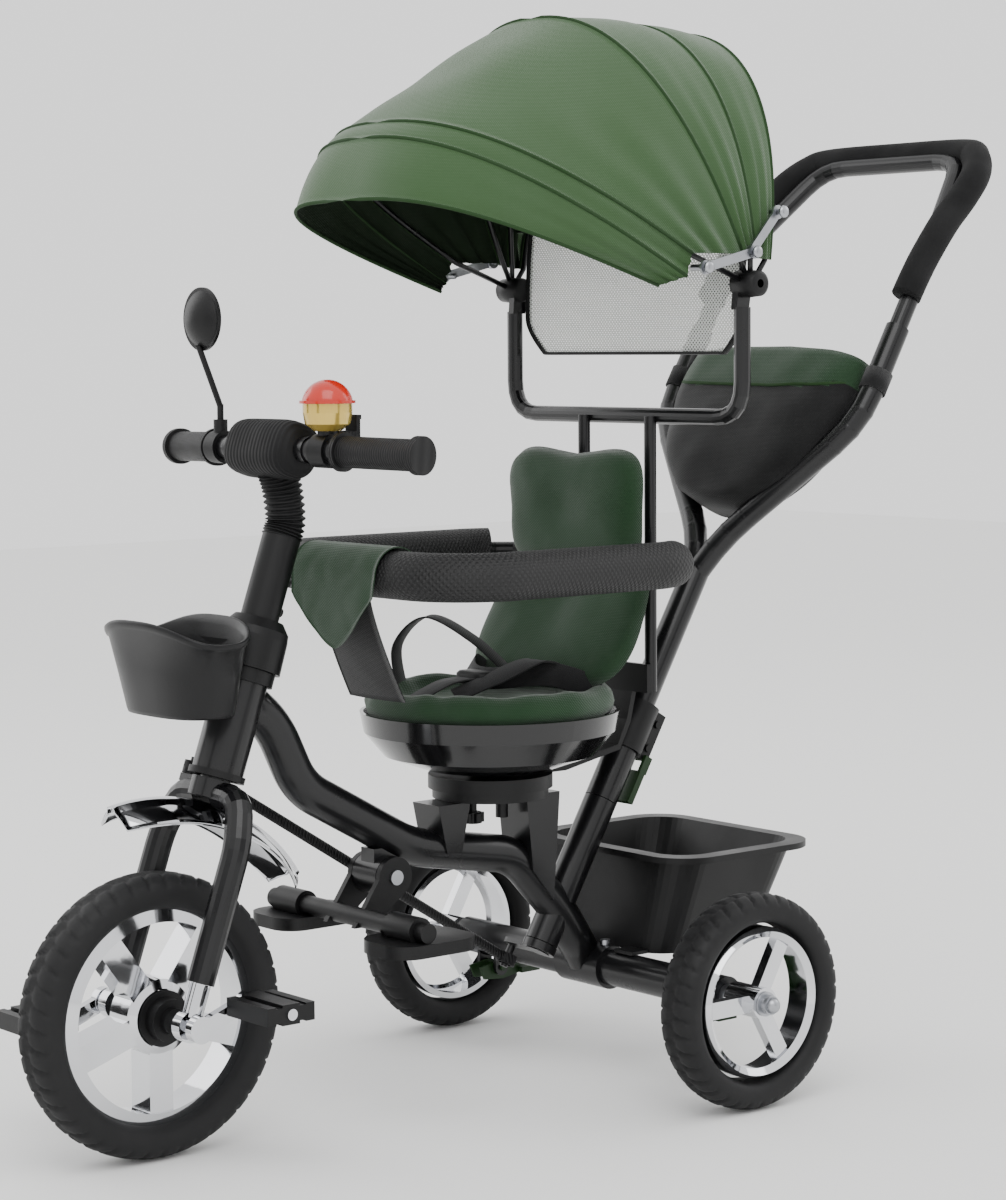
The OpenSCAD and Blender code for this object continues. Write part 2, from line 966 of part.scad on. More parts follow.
// Plated front rim: channel and a dished web with five spokes on each side.
module front_rim() {
    color("#d8d8dc")
        translate([0, -wheelbase, front_z])
            rotate([0, 90, 0])
                difference() {
                    union() {
                        rotate_extrude($fn = 96)
                            polygon([
                                [front_rim_r - 8, -17],
                                [front_rim_r + 4 - seat_gap, -13],
                                [front_rim_r + 4 - seat_gap, 13],
                                [front_rim_r - 8, 17]
                            ]);
                        for (a = [0 : 72 : 288])
                            rotate([0, 0, a])
                                translate([24, -12, -15])
                                    cube([front_rim_r - 30, 24, 30]);
                        rotate_extrude()
                            polygon([[26, -18], [34, -14], [34, 14], [26, 18]]);
                    }
                    translate([0, 0, -40])
                        cylinder(h = 80, r = 20 + run_gap);
                }
}

// Black hub with its flanges and the drive clutch inside.
module front_hub() {
    color("#1c1c1c")
        translate([0, -wheelbase, front_z])
            rotate([0, 90, 0])
                difference() {
                    union() {
                        cylinder(h = 38, r = 20, center = true);
                        for (s = [-1, 1])
                            translate([0, 0, s * 26])
                                cylinder(h = 14, r = 19, center = true);
                        for (s = [-1, 1])
                            translate([0, 0, s * 19.3])
                                cylinder(h = 2, r = 25, center = true);
                        for (s = [-1, 1])
                            translate([0, 0, s * 36])
                                cylinder(h = 8, r = 12, center = true);
                    }
                    cylinder(h = 100, r = axle_r + run_gap, center = true);
                }
}

// Steel crank: the axle, two arms and the pedal pins, turned at half a turn.
module crank() {
    color("#1c1c1c")
        translate([0, -wheelbase, front_z])
            rotate([crank_tilt, 0, 0]) {
                rotate([0, 90, 0])
                    cylinder(h = 2 * crank_x, r = axle_r, center = true);
                for (s = [-1, 1]) {
                    translate([s * crank_x, 0, 0])
                        rotate([0, 90, 0])
                            cylinder(h = 9, r = 12, center = true);
                    translate([s * crank_x - 4, min(0, s * crank_len), -7])
                        cube([8, crank_len, 14]);
                    translate([s * crank_x, s * crank_len, 0])
                        rotate([0, 90, 0])
                            cylinder(h = 9, r = 9, center = true);
                    translate([s * (crank_x + pedal_len / 2 + 5), s * crank_len, 0])
                        rotate([0, 90, 0])
                            cylinder(h = pedal_len + 6, r = 5, center = true);
                }
            }
}

// Plastic pedal turning on its pin.
module pedal(side) {
    pin = [
        side * (crank_x + 5 + pass_gap + pedal_len / 2),
        -wheelbase + side * crank_len * cos(crank_tilt),
        front_z + side * crank_len * sin(crank_tilt)
    ];
    color("#232323")
        translate(pin)
            difference() {
                union() {
                    cube([pedal_len, 18, 18], center = true);
                    for (s = [-1, 1])
                        translate([0, s * 20, 0])
                            cube([pedal_len, 9, 16], center = true);
                    for (k = [-1, 1])
                        translate([k * (pedal_len / 2 - 4), 0, 0])
                            cube([8, 42, 13], center = true);
                }
                rotate([0, 90, 0])
                    cylinder(h = 100, r = 5 + run_gap, center = true);
            }
}

module left_pedal() {
    pedal(1);
}

module right_pedal() {
    pedal(-1);
}

// ---- Footrest ------------------------------------------------------------

rest_y = footrest_y - 36;
rest_z = footrest_z - 34;

// Folding arm: two cheeks on the pivot and the cross tube below.
module footrest_arm() {
    color("#1c1c1c")
        difference() {
            union() {
                for (s = [0, 1])
                    mirror([s, 0, 0]) {
                        cross_bar(cheek_in, cheek_in + 6, footrest_y, footrest_z, 19);
                        side_plate(cheek_in, cheek_in + 6)
                            polygon([
                                [footrest_y - 19, footrest_z],
                                [footrest_y + 8, footrest_z - 17],
                                [rest_y + 12, rest_z - 8],
                                [rest_y - 12, rest_z - 8]
                            ]);
                    }
                cross_bar(-120, 120, rest_y, rest_z, 9);
            }
            cross_bar(-60, 60, footrest_y, footrest_z, 4 + run_gap);
        }
}

// Foot plates on the cross tube.
module footrest_plates() {
    color("#232323")
        for (s = [-1, 1])
            translate([s * 88, rest_y, rest_z])
                difference() {
                    union() {
                        translate([0, 14, -21])
                            linear_extrude(12)
                                rounded(72, 96, 24);
                        translate([0, 0, 0])
                            rotate([0, 90, 0])
                                cylinder(h = 40, r = 13, center = true);
                    }
                    rotate([0, 90, 0])
                        cylinder(h = 120, r = 9 + run_gap, center = true);
                }
}

// ---- Steering link -------------------------------------------------------

stud_front = steer_pt(-link_x, 0, link_w + 7);
stud_rear = push_pt(-link_x, 0, lever_t - 14);

// Rod in a ribbed sleeve from the fork's stud to the push shaft's lever.
module steering_link() {
    dir = unit(stud_rear - stud_front);
    color("#1c1c1c")
        difference() {
            union() {
                steer_frame()
                    translate([-link_x, 0, link_w + seat_gap])
                        cylinder(h = 12, r = 9);
                bar(stud_front + dir * 6, stud_rear - dir * 7, 5);
                push_frame()
                    translate([-link_x, 0, lever_t - 19])
                        cylinder(h = 10, r = 10);
            }
            steer_frame()
                translate([-link_x, 0, link_w - 20])
                    cylinder(h = 60, r = 4 + run_gap);
            push_frame()
                translate([-link_x, 0, lever_t - 40])
                    cylinder(h = 60, r = 7);
        }
}

// ---- Push handle ---------------------------------------------------------

// Steel shaft that turns in the frame's sleeve, with the lever and the link's stud at its foot.
module push_shaft() {
    color("#26272a")
        push_frame() {
            translate([0, 0, lever_t])
                cylinder(h = sleeve_high - lever_t + 1, r = shaft_r);
            translate([0, 0, sleeve_high + pass_gap])
                cylinder(h = collar_len, r = sleeve_r);
            translate([0, 0, lever_t + 1])
                cylinder(h = 8, r = shaft_r + 5);
            translate([-link_x, -9, lever_t + 1])
                cube([link_x, 18, 5]);
            translate([-link_x, 0, lever_t + 1])
                cylinder(h = 5, r = 9);
            translate([-link_x, 0, lever_t - 22])
                cylinder(h = 24, r = 4);
        }
}

// Centre line of one lower arm, from the junction to its straight end.
function arm_path(s) = bend([
    push_pt(0, 0, junction_t - 40),
    push_pt(s * 16, 0, junction_t + 6),
    push_pt(s * arm_half, 0, split_t - 20),
    push_pt(s * arm_half, 0, step_t)
], 36, 3);

// Lower push handle: a stem that parts in two arms, bored for the sliding loop.
module push_handle() {
    base = sleeve_high + pass_gap + collar_len + seat_gap;
    color("#26272a")
        difference() {
            union() {
                push_frame()
                    translate([0, 0, base])
                        cylinder(h = junction_t - 30 - base, r = 14);
                for (s = [-1, 1])
                    pipe(arm_path(s), arm_r);
            }
            for (s = [-1, 1])
                push_frame()
                    translate([s * arm_half, 0, split_t + 18])
                        cylinder(h = 120, r = inner_arm_r + run_gap);
        }
}

// Clamp that locks the handle's stem on the shaft.
module handle_clamp() {
    color("#1c1c1c")
        push_frame()
            difference() {
                union() {
                    translate([0, 0, clamp_t])
                        cylinder(h = 50, r = sleeve_r + 3.5);
                    translate([-9, 8, clamp_t])
                        cube([18, 22, 50]);
                    for (k = [0, 1])
                        translate([0, 23, clamp_t + 12 + 26 * k])
                            rotate([0, 90, 0])
                                cylinder(h = 24, r = 4, center = true);
                }
                translate([0, 0, clamp_t - 1])
                    cylinder(h = 70, r = sleeve_r + run_gap);
                translate([-20, 26, clamp_t + 1])
                    rotate([0, 90, 0])
                        cylinder(h = 40, r = 2 + run_gap);
            }
}

// Quick-release lever of the clamp.
module clamp_lever() {
    color("#2f4127")
        push_frame()
            translate([0, 26, clamp_t + 1]) {
                rotate([0, 90, 0])
                    cylinder(h = 27, r = 2, center = true);
                for (s = [-1, 1])
                    translate([s * 12, 0, -6])
                        cube([4, 9, 18], center = true);
                translate([-14, -4, -48])
                    cube([28, 7, 34]);
            }
}

// Half-round cloth bag hung between the two lower arms.
module storage_bag() {
    w = arm_half - arm_r - 1.5;
    strap_t = junction_t + 182;
    color("#2f4127")
        push_frame() {
            for (s = [-1, 1])
                difference() {
                    union() {
                        translate([s * arm_half, 0, strap_t])
                            cylinder(h = 22, r = arm_r + 2.3);
                        translate([s * (arm_half - arm_r - 2) - 8, -2, strap_t])
                            cube([16, 4, 22]);
                    }
                    translate([s * arm_half, 0, strap_t - 1])
                        cylinder(h = 30, r = arm_r + seat_gap);
                }
            translate([0, 30, junction_t + 60])
                rotate([90, 0, 0])
                    linear_extrude(50)
                        polygon([
                            [-30, -8], [30, -8],
                            [w - 24, 74], [w - 3, 116], [w - 8, 154],
                            [-w + 8, 154], [-w + 3, 116], [-w + 24, 74]
                        ]);
        }
}

// Centre line of the upper loop.
function loop_path() = bend([
    push_pt(arm_half, 0, split_t + 22),
    push_pt(arm_half, 0, step_t + 84),
    [98, 430, 902],
    [-98, 430, 902],
    push_pt(-arm_half, 0, step_t + 84),
    push_pt(-arm_half, 0, split_t + 22)
], 32, 4);

loop_ref = [0, 0.62, -0.78];

// Sliding upper loop of the handle, in the two lower arms.
module handle_loop() {
    color("#26272a")
        sweep(loop_path(), inner_arm_r, ref = loop_ref, n = 24);
}

// Foam sleeve around the loop.
module handle_foam() {
    path = loop_path();
    start = push_pt(arm_half, 0, step_t + 38);
    core = [for (i = [1 : len(path) - 2]) path[i]];
    color("#202020")
        sweep(
            concat([start], core, [flip_x(start)]),
            grip_foam_r,
            ref = loop_ref,
            ri = inner_arm_r + 2 * seat_gap
        );
}

// ---- Seat ----------------------------------------------------------------

// Turning plate, pin and upright that carry the seat and its back.
module seat_bracket() {
    under = seat_z - seat_gap;
    plate = disc_z - 5 + 2 * seat_gap;
    color("#1c1c1c") {
        translate([0, -seat_y, plate])
            cylinder(h = under - 5 - plate, r = 60);
        side_plate(-34, 34)
            polygon([
                [-seat_y, under - 6],
                [-60, under - 6],
                [10, under + 8],
                [24, under + 34],
                [31, under + 62],
                [31, under + 92],
                [26, under + 92],
                [26, under + 64],
                [19, under + 37],
                [7, under + 13],
                [-62, under],
                [-seat_y, under]
            ]);
        side_plate(-56, 56)
            translate([26, under + 64])
                square([5, 28]);
        translate([0, -swivel_y, disc_z - 36])
            cylinder(h = 36, r = axle_r);
    }
}

// Glossy moulded seat bowl.
module seat_shell() {
    color("#151515")
        translate([0, -seat_y, seat_z])
            rotate_extrude($fn = 96)
                polygon([
                    [0, 0],
                    [seat_r * 0.5, 0],
                    [seat_r * 0.82, bowl_h * 0.25],
                    [seat_r * 0.97, bowl_h * 0.65],
                    [seat_r, bowl_h],
                    [seat_r - 3.5, bowl_h],
                    [seat_r * 0.97 - 4, bowl_h * 0.65 + 1],
                    [seat_r * 0.82 - 3, bowl_h * 0.25 + 4],
                    [seat_r * 0.5 - 1, 4],
                    [0, 4]
                ]);
}

// Seat cushion and back cover.
module seat_pad() {
    base = seat_z + 4 + seat_gap;
    color("#2f4127") {
        translate([0, -seat_y, base])
            rotate_extrude()
                polygon([
                    [0, 0],
                    [seat_r * 0.5 - 4, 0],
                    [seat_r * 0.82 - 8, bowl_h * 0.25 + 3],
                    [seat_r * 0.97 - 10, bowl_h * 0.65 + 2],
                    [seat_r - 7, bowl_h + 2],
                    [seat_r - 7, pad_top - base],
                    [0, pad_top - base]
                ]);
        difference() {
            translate([0, back_y - seat_gap, 0])
                rotate([90, 0, 0])
                    linear_extrude(22) {
                        translate([0, (pad_top + ring_z + 18) / 2])
                            rounded(216, ring_z + 16 - pad_top, 34);
                        translate([0, ring_z + 37])
                            rounded(200, 136, 30);
                    }
            for (s = [-1, 1])
                translate([s * 110 - 30, back_y - 8, ring_z - 9])
                    cube([60, 10, 18]);
        }
    }
}

// Centre line of the armrest ring.
function ring_path() =
    let (rear = back_y + 8)
    let (front = -seat_y - 158)
    let (c = 62)
    let (k = 5)
    [
        for (q = [
            [ring_half - c, rear - c, 0],
            [-ring_half + c, rear - c, 90],
            [-ring_half + c, front + c, 180],
            [ring_half - c, front + c, 270]
        ])
            for (i = [0 : k])
                let (a = q[2] + 90 * i / k)
                [q[0] + c * cos(a), q[1] + c * sin(a), ring_z]
    ];

// Steel tube of the armrest ring.
module armrest_tube() {
    color("#26272a")
        sweep(ring_path(), 8, ref = Z, closed = true);
}

// Foam on the ring's sides and front, open behind the seat's back.
module armrest_foam() {
    p = ring_path();
    n = len(p);
    around = concat([for (i = [9 : n - 1]) p[i]], [for (i = [0 : 2]) p[i]]);
    color("#202020")
        sweep(around, foam_r, ref = Z, ri = 8 + seat_gap);
}

// Padded cover over the ring's front, with the crotch panel below it.
module guard_pad() {
    front = -seat_y - 158;
    r = foam_r + seat_gap;
    color("#2f4127") {
        difference() {
            union() {
                cross_bar(-62, 62, front, ring_z, r + 4);
                translate([-46, front - 3, pad_top + 1])
                    cube([92, 6, ring_z - pad_top - 1]);
            }
            cross_bar(-70, 70, front, ring_z, r);
        }
        translate([-46, front - 3, pad_top + seat_gap])
            cube([92, 62, 3]);
    }
}

// Safety harness: lap straps and buckle on the cushion.
module harness() {
    top = pad_top + seat_gap;
    color("#141518") {
        translate([-95, -seat_y + 8, top])
            cube([190, 26, 5]);
        translate([-13, -seat_y - 34, top])
            cube([26, 41.7, 5]);
        translate([-22, -seat_y - 20, top + 5.3])
            cube([44, 34, 10]);
    }
}

// ---- Canopy --------------------------------------------------------------

// Tube hoop that carries the canopy, with two posts down behind the seat's back.
module canopy_frame() {
    post_y = 31 + 6 + seat_gap;
    boss = hoop_half - 7;
    p = bend([
        [hoop_half, hoop_y, hinge_z - 22],
        [hoop_half, hoop_y, hoop_z],
        [-hoop_half, hoop_y, hoop_z],
        [-hoop_half, hoop_y, hinge_z - 22]
    ], 34, 5);
    color("#26272a") {
        sweep(p, hoop_r, ref = Y);
        for (s = [-1, 1]) {
            translate([s * 49, post_y, seat_z + 64])
                cylinder(h = hoop_z - seat_z - 64, r = 6);
            difference() {
                translate([s * 49 - 11, back_y + 3, ring_z - 9])
                    cube([22, post_y - back_y, 18]);
                cross_bar(s * 49 - 20, s * 49 + 20, back_y + 8, ring_z, 8 + run_gap);
            }
        }
        for (s = [0, 1])
            mirror([s, 0, 0]) {
                cross_bar(boss, bow_half - bow_t - pass_gap, hinge_y, hinge_z, 9);
                cross_bar(boss, bow_half + 3 * canopy_pitch + 1, hinge_y, hinge_z, hinge_pin_r);
                side_plate(boss, bow_half - bow_t - pass_gap)
                    polygon([
                        [hoop_y - 8, hinge_z - 24],
                        [hoop_y + 8, hinge_z - 24],
                        [hinge_y + 9, hinge_z],
                        [hinge_y - 9, hinge_z]
                    ]);
            }
    }
}

// One point of an arched bow: half width w, height h, squareness n.
function arch(w, h, a, n = 2.5) = [
    w * sign(cos(a)) * pow(abs(cos(a)), 2 / n),
    h * pow(abs(sin(a)), 2 / n)
];

// Turns children's local XY plane to the bow plane at angle b behind vertical.
module at_hinge(b) {
    translate([0, hinge_y, hinge_z])
        rotate([-b, 0, 0])
            rotate([90, 0, 0])
                children();
}

// Point at radius r and angle b behind vertical, from the hinge line.
function hinge_pt(x, r, b) = [x, hinge_y + r * sin(b), hinge_z + r * cos(b)];

// Flat steel bow in its own plane, with eyes on the hinge pin.
module bow(i) {
    w = bow_half + i * canopy_pitch;
    h = bow_h[i];
    outer = [for (a = [0 : 6 : 180]) arch(w, h, a)];
    inner = [for (a = [180 : -6 : 0]) arch(w - bow_t, h - bow_t, a)];
    difference() {
        union() {
            at_hinge(bow_b[i])
                translate([0, 0, -4])
                    linear_extrude(8)
                        polygon(concat(outer, inner));
            for (s = [0, 1])
                mirror([s, 0, 0])
                    cross_bar(w - bow_t, w, hinge_y, hinge_z, 9);
        }
        cross_bar(-w - 10, w + 10, hinge_y, hinge_z, hinge_pin_r + run_gap);
    }
}

// Cloth panel stretched from bow i forward to the given angle and height.
module panel(i, b1, h1, low = 40) {
    w = bow_half + i * canopy_pitch + cloth_seam;
    n = 5;
    m = 26;
    pts = [
        for (t = [0, cloth_t])
            for (j = [0 : n])
                for (k = [0 : m])
                    let (h = bow_h[i] + cloth_seam)
                    let (a = asin(pow(low / h, 1.25)))
                    let (q = arch(w + t, 1, a + (180 - 2 * a) * k / m))
                    let (p0 = hinge_pt(q[0], q[1] * (h + t), bow_b[i]))
                    let (p1 = hinge_pt(q[0], q[1] * (h1 + t), b1))
                    p0 + (p1 - p0) * j / n
    ];
    function id(t, j, k) = t * (n + 1) * (m + 1) + j * (m + 1) + k;
    skin = [
        for (j = [0 : n - 1])
            for (k = [0 : m - 1])
                for (f = [
                    [id(1, j, k), id(1, j + 1, k), id(1, j + 1, k + 1)],
                    [id(1, j, k), id(1, j + 1, k + 1), id(1, j, k + 1)],
                    [id(0, j, k), id(0, j + 1, k + 1), id(0, j + 1, k)],
                    [id(0, j, k), id(0, j, k + 1), id(0, j + 1, k + 1)]
                ]) f
    ];
    ends = [
        for (j = [0 : n - 1])
            for (f = [
                [id(0, j, 0), id(0, j + 1, 0), id(1, j + 1, 0)],
                [id(0, j, 0), id(1, j + 1, 0), id(1, j, 0)],
                [id(1, j, m), id(1, j + 1, m), id(0, j + 1, m)],
                [id(1, j, m), id(0, j + 1, m), id(0, j, m)]
            ]) f
    ];
    edges = [
        for (k = [0 : m - 1])
            for (f = [
                [id(0, 0, k + 1), id(0, 0, k), id(1, 0, k)],
                [id(0, 0, k + 1), id(1, 0, k), id(1, 0, k + 1)],
                [id(0, n, k), id(0, n, k + 1), id(1, n, k + 1)],
                [id(0, n, k), id(1, n, k + 1), id(1, n, k)]
            ]) f
    ];
    polyhedron(points = pts, faces = concat(skin, ends, edges));
}

stay_b = bow_b[0] + 3.5;
stay_rear = hinge_pt(0, 70, stay_b);
stay_elbow = [0, hinge_y - 13, hinge_z + 29];
stay_front = [0, hinge_y - 75, hinge_z + 14];
stay_x = bow_half + 3 * canopy_pitch + pass_gap;

// Rear bow with its cloth panel, the stays' rear rivets and the window below.
module rear_bow() {
    color("#65795d") {
        bow(0);
        for (s = [0, 1])
            mirror([s, 0, 0]) {
                cross_bar(bow_half - bow_t, bow_half, stay_rear[1], stay_rear[2], 6);
                cross_bar(bow_half - bow_t, stay_x + 4, stay_rear[1], stay_rear[2], 3);
            }
        panel(0, bow_b[1], bow_h[0]);
        side = bow_half - 14;
        translate([-side, hoop_y + hoop_r + seat_gap, hoop_z + 62])
            cube([2 * side, 1.6, hinge_z - hoop_z - 62]);
        translate([-hoop_half, hoop_y + hoop_r + seat_gap, hoop_z + 62])
            cube([2 * hoop_half, 1.6, hinge_z - hoop_z - 90]);
    }
}

// Middle bow and the panel ahead of it.
module middle_bow() {
    color("#65795d") {
        bow(1);
        panel(1, bow_b[2], bow_h[1]);
    }
}

// Ridge bow and the panel ahead of it.
module ridge_bow() {
    color("#65795d") {
        bow(2);
        panel(2, bow_b[3], bow_h[3] - 12);
    }
}

// Front bow with the brim, and tabs for the stays' front rivets.
module front_bow() {
    w = bow_half + 3 * canopy_pitch;
    color("#65795d") {
        bow(3);
        for (s = [0, 1])
            mirror([s, 0, 0]) {
                cross_bar(w - bow_t, w, stay_front[1], stay_front[2], 6);
                cross_bar(w - bow_t, stay_x + 7, stay_front[1], stay_front[2], 3);
                side_plate(w - bow_t, w)
                    polygon([
                        [stay_front[1], stay_front[2] - 5],
                        [stay_front[1], stay_front[2] + 5],
                        [hinge_y - 75, hinge_z + 37],
                        [hinge_y - 57, hinge_z + 28]
                    ]);
            }
        panel(3, bow_b[3] - 14, bow_h[3] + 10, low = 104);
    }
}

// Flat link between two pivots in the YZ plane, with a bore at one or both ends.
module stay(x, a, b) {
    difference() {
        union() {
            bar_len = norm(b - a);
            for (p = [a, b])
                cross_bar(x, x + 2.4, p[1], p[2], 6.5);
            translate([x, a[1], a[2]])
                rotate([atan2(b[2] - a[2], b[1] - a[1]), 0, 0])
                    translate([0, 0, -4.5])
                        cube([2.4, bar_len, 9]);
        }
        for (p = [a, b])
            cross_bar(x - 1, x + 4, p[1], p[2], 3 + run_gap);
    }
}

// Rear links of the two stays.
module rear_stays() {
    color("silver")
        for (s = [0, 1])
            mirror([s, 0, 0])
                stay(stay_x, stay_elbow, stay_rear);
}

// Front links of the two stays, beside the rear ones.
module front_stays() {
    color("silver")
        for (s = [0, 1])
            mirror([s, 0, 0])
                stay(stay_x + 2.4 + pass_gap, stay_elbow, stay_front);
}

main_frame();
rear_axle_beam();
rear_axle_rod();
fasteners();
head_set();
swivel_base();
lock_knob();
rear_basket();
front_basket();
basket_bracket();
left_brake();
right_brake();
fork();
fork_ends();
mudguard();
stem();
stem_bellows();
handlebar();
bar_cover();
hand_grips();
bar_clamps();
bell_bowl();
bell_dome();
bell_lever();
mirror_body();
mirror_glass();
front_tyre();
front_rim();
front_hub();
crank();
left_pedal();
right_pedal();
left_rear_tyre();
left_rear_rim();
right_rear_tyre();
right_rear_rim();
footrest_arm();
footrest_plates();
steering_link();
push_shaft();
push_handle();
handle_clamp();
clamp_lever();
storage_bag();
handle_loop();
handle_foam();
seat_bracket();
seat_shell();
seat_pad();
armrest_tube();
armrest_foam();
guard_pad();
harness();
canopy_frame();
rear_bow();
middle_bow();
ridge_bow();
front_bow();
rear_stays();
front_stays();
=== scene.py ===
import bpy
import math
from mathutils import Vector, Matrix, noise


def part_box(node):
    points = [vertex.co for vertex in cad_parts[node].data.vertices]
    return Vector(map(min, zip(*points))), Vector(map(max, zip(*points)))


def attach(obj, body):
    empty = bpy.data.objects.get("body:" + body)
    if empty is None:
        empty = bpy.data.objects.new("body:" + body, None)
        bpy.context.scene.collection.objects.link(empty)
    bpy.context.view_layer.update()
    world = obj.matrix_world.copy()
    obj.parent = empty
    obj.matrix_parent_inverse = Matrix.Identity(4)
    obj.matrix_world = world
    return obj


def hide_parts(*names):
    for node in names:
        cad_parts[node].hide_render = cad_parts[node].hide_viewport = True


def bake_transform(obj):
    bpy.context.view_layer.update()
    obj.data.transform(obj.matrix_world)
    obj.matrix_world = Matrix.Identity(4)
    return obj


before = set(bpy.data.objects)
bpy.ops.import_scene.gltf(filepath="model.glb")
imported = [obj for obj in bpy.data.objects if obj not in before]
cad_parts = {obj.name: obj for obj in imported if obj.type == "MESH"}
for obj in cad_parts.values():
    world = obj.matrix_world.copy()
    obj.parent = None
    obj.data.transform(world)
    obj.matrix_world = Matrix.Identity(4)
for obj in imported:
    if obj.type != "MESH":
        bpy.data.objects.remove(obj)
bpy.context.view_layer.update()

# ---- Frame ---------------------------------------------------------------
# The welded frame and everything painted like it: satin black powder coat on steel tube,
# faintly pitted, with a little wear. Edges are broken by a small bevel.


def tone(code):
    """sRGB hex colour as linear RGBA."""
    parts = [int(code[i:i + 2], 16) / 255 for i in (0, 2, 4)]
    return [c / 12.92 if c <= 0.04045 else ((c + 0.055) / 1.055) ** 2.4 for c in parts] + [1.0]


def node(tree, kind, inputs=None, **settings):
    """Adds a shader node with its settings, constants and links."""
    new = tree.nodes.new(kind)
    for key, value in settings.items():
        setattr(new, key, value)
    for key, value in (inputs or {}).items():
        if isinstance(value, bpy.types.NodeSocket):
            tree.links.new(value, new.inputs[key])
        else:
            new.inputs[key].default_value = value
    return new


def surface(name, dark, light, rough, metal=0.0, grain=700, depth=0.0002, patch=18,
            sheen=0.0, weave=0.0, rib=None, coat=0.0):
    """A material: two tones in soft patches, uneven roughness, grain, and a weave or ribs in metres."""
    made = bpy.data.materials.new(name)
    made.use_nodes = True
    tree = made.node_tree
    tree.nodes.clear()
    place = node(tree, "ShaderNodeTexCoord").outputs["Object"]
    blot = node(tree, "ShaderNodeTexNoise", {"Vector": place, "Scale": patch, "Detail": 4.0}).outputs[0]
    fine = node(tree, "ShaderNodeTexNoise", {"Vector": place, "Scale": grain, "Detail": 2.0}).outputs[0]
    colour = node(tree, "ShaderNodeMix", {0: blot, 6: tone(dark), 7: tone(light)},
                  data_type="RGBA").outputs[2]
    polish = node(tree, "ShaderNodeMapRange", {
        0: blot, 1: 0.3, 2: 0.7, 3: rough * 0.85, 4: min(1.0, rough * 1.2)})
    height = fine
    if weave:
        cross = [
            node(tree, "ShaderNodeTexWave", {"Vector": place, "Scale": weave, "Distortion": 0.6},
                 bands_direction=axis).outputs["Fac"]
            for axis in ("DIAGONAL", "Z")
        ]
        height = node(tree, "ShaderNodeMath", {0: cross[0], 1: cross[1]}, operation="MULTIPLY").outputs[0]
        colour = node(tree, "ShaderNodeMix", {0: height, 6: tone(dark), 7: colour},
                      data_type="RGBA").outputs[2]
    if rib:
        height = node(tree, "ShaderNodeTexWave", {"Vector": place, "Scale": rib[1]},
                      bands_direction=rib[0]).outputs["Fac"]
    bump = node(tree, "ShaderNodeBump", {"Height": height, "Distance": depth, "Strength": 0.8})
    shade = node(tree, "ShaderNodeBsdfPrincipled", {
        "Base Color": colour, "Metallic": metal, "Roughness": polish.outputs[0],
        "Normal": bump.outputs[0], "Sheen Weight": sheen, "Coat Weight": coat,
        "Coat Roughness": 0.15, "Specular IOR Level": 0.3})
    out = node(tree, "ShaderNodeOutputMaterial", {"Surface": shade.outputs[0]})
    out.location = (400, 0)
    return made


def finish(names, material, bevel=0.0006):
    """Gives CAD nodes their material, smooth faces and slightly broken edges."""
    for name in names:
        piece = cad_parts[name]
        piece.data.materials.clear()
        piece.data.materials.append(material)
        piece.data.shade_smooth()
        piece.data.set_sharp_from_angle(angle=math.radians(32))
        if bevel:
            soft = piece.modifiers.new("edges", "BEVEL")
            soft.width = bevel
            soft.segments = 2
            soft.limit_method = "ANGLE"
            soft.angle_limit = math.radians(40)
            soft.use_clamp_overlap = True


paint = surface("satin_black_paint", "0b0b0c", "121214", 0.3, grain=900, depth=0.00008, coat=0.25)
finish(["main_frame", "rear_axle_beam", "push_handle", "push_shaft", "handle_loop", "canopy_frame",
        "armrest_tube", "fork", "handlebar"], paint)

zinc = surface("zinc_plated_steel", "8f9196", "c2c4c8", 0.3, metal=1.0, grain=500, depth=0.0001)
finish(["rear_axle_rod", "fasteners", "rear_stays", "front_stays"], zinc, 0.0004)

plastic = surface("black_plastic", "080809", "0f0f10", 0.42, grain=1100, depth=0.00015)
finish(["head_set", "swivel_base", "lock_knob", "basket_bracket", "seat_bracket", "handle_clamp",
        "bar_clamps", "mirror_body", "stem", "front_hub", "footrest_arm", "footrest_plates",
        "left_pedal", "right_pedal", "rear_basket"], plastic, 0.001)

green_plastic = surface("green_plastic", "152a12", "1c3818", 0.4, grain=900, depth=0.00012)
finish(["left_brake", "right_brake", "clamp_lever"], green_plastic, 0.0008)

# ---- Wheels --------------------------------------------------------------
# Tyres are moulded rubber, revolved with a block tread and ribbed walls. Rims, hub parts,
# crank and the fork's ends are bright-plated.

chrome = surface("bright_chrome", "c9cacd", "e4e5e8", 0.07, metal=1.0, grain=60, depth=0.0001, patch=9)
finish(["front_rim", "left_rear_rim", "right_rear_rim", "crank", "fork_ends"], chrome, 0.0008)
rubber = surface("tyre_rubber", "121213", "1b1b1c", 0.62, grain=1600, depth=0.0002)


def solid(name, points, faces, material, body=None, stands_for=(), smooth=True):
    """A mesh piece that rides on a body and stands for CAD nodes."""
    mesh = bpy.data.meshes.new(name)
    mesh.from_pydata([tuple(p) for p in points], [], faces)
    mesh.validate()
    for face in mesh.polygons:
        face.use_smooth = smooth
    piece = bpy.data.objects.new(name, mesh)
    bpy.context.scene.collection.objects.link(piece)
    mesh.materials.append(material)
    if body:
        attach(piece, body)
    if stands_for:
        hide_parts(*stands_for)
    return piece


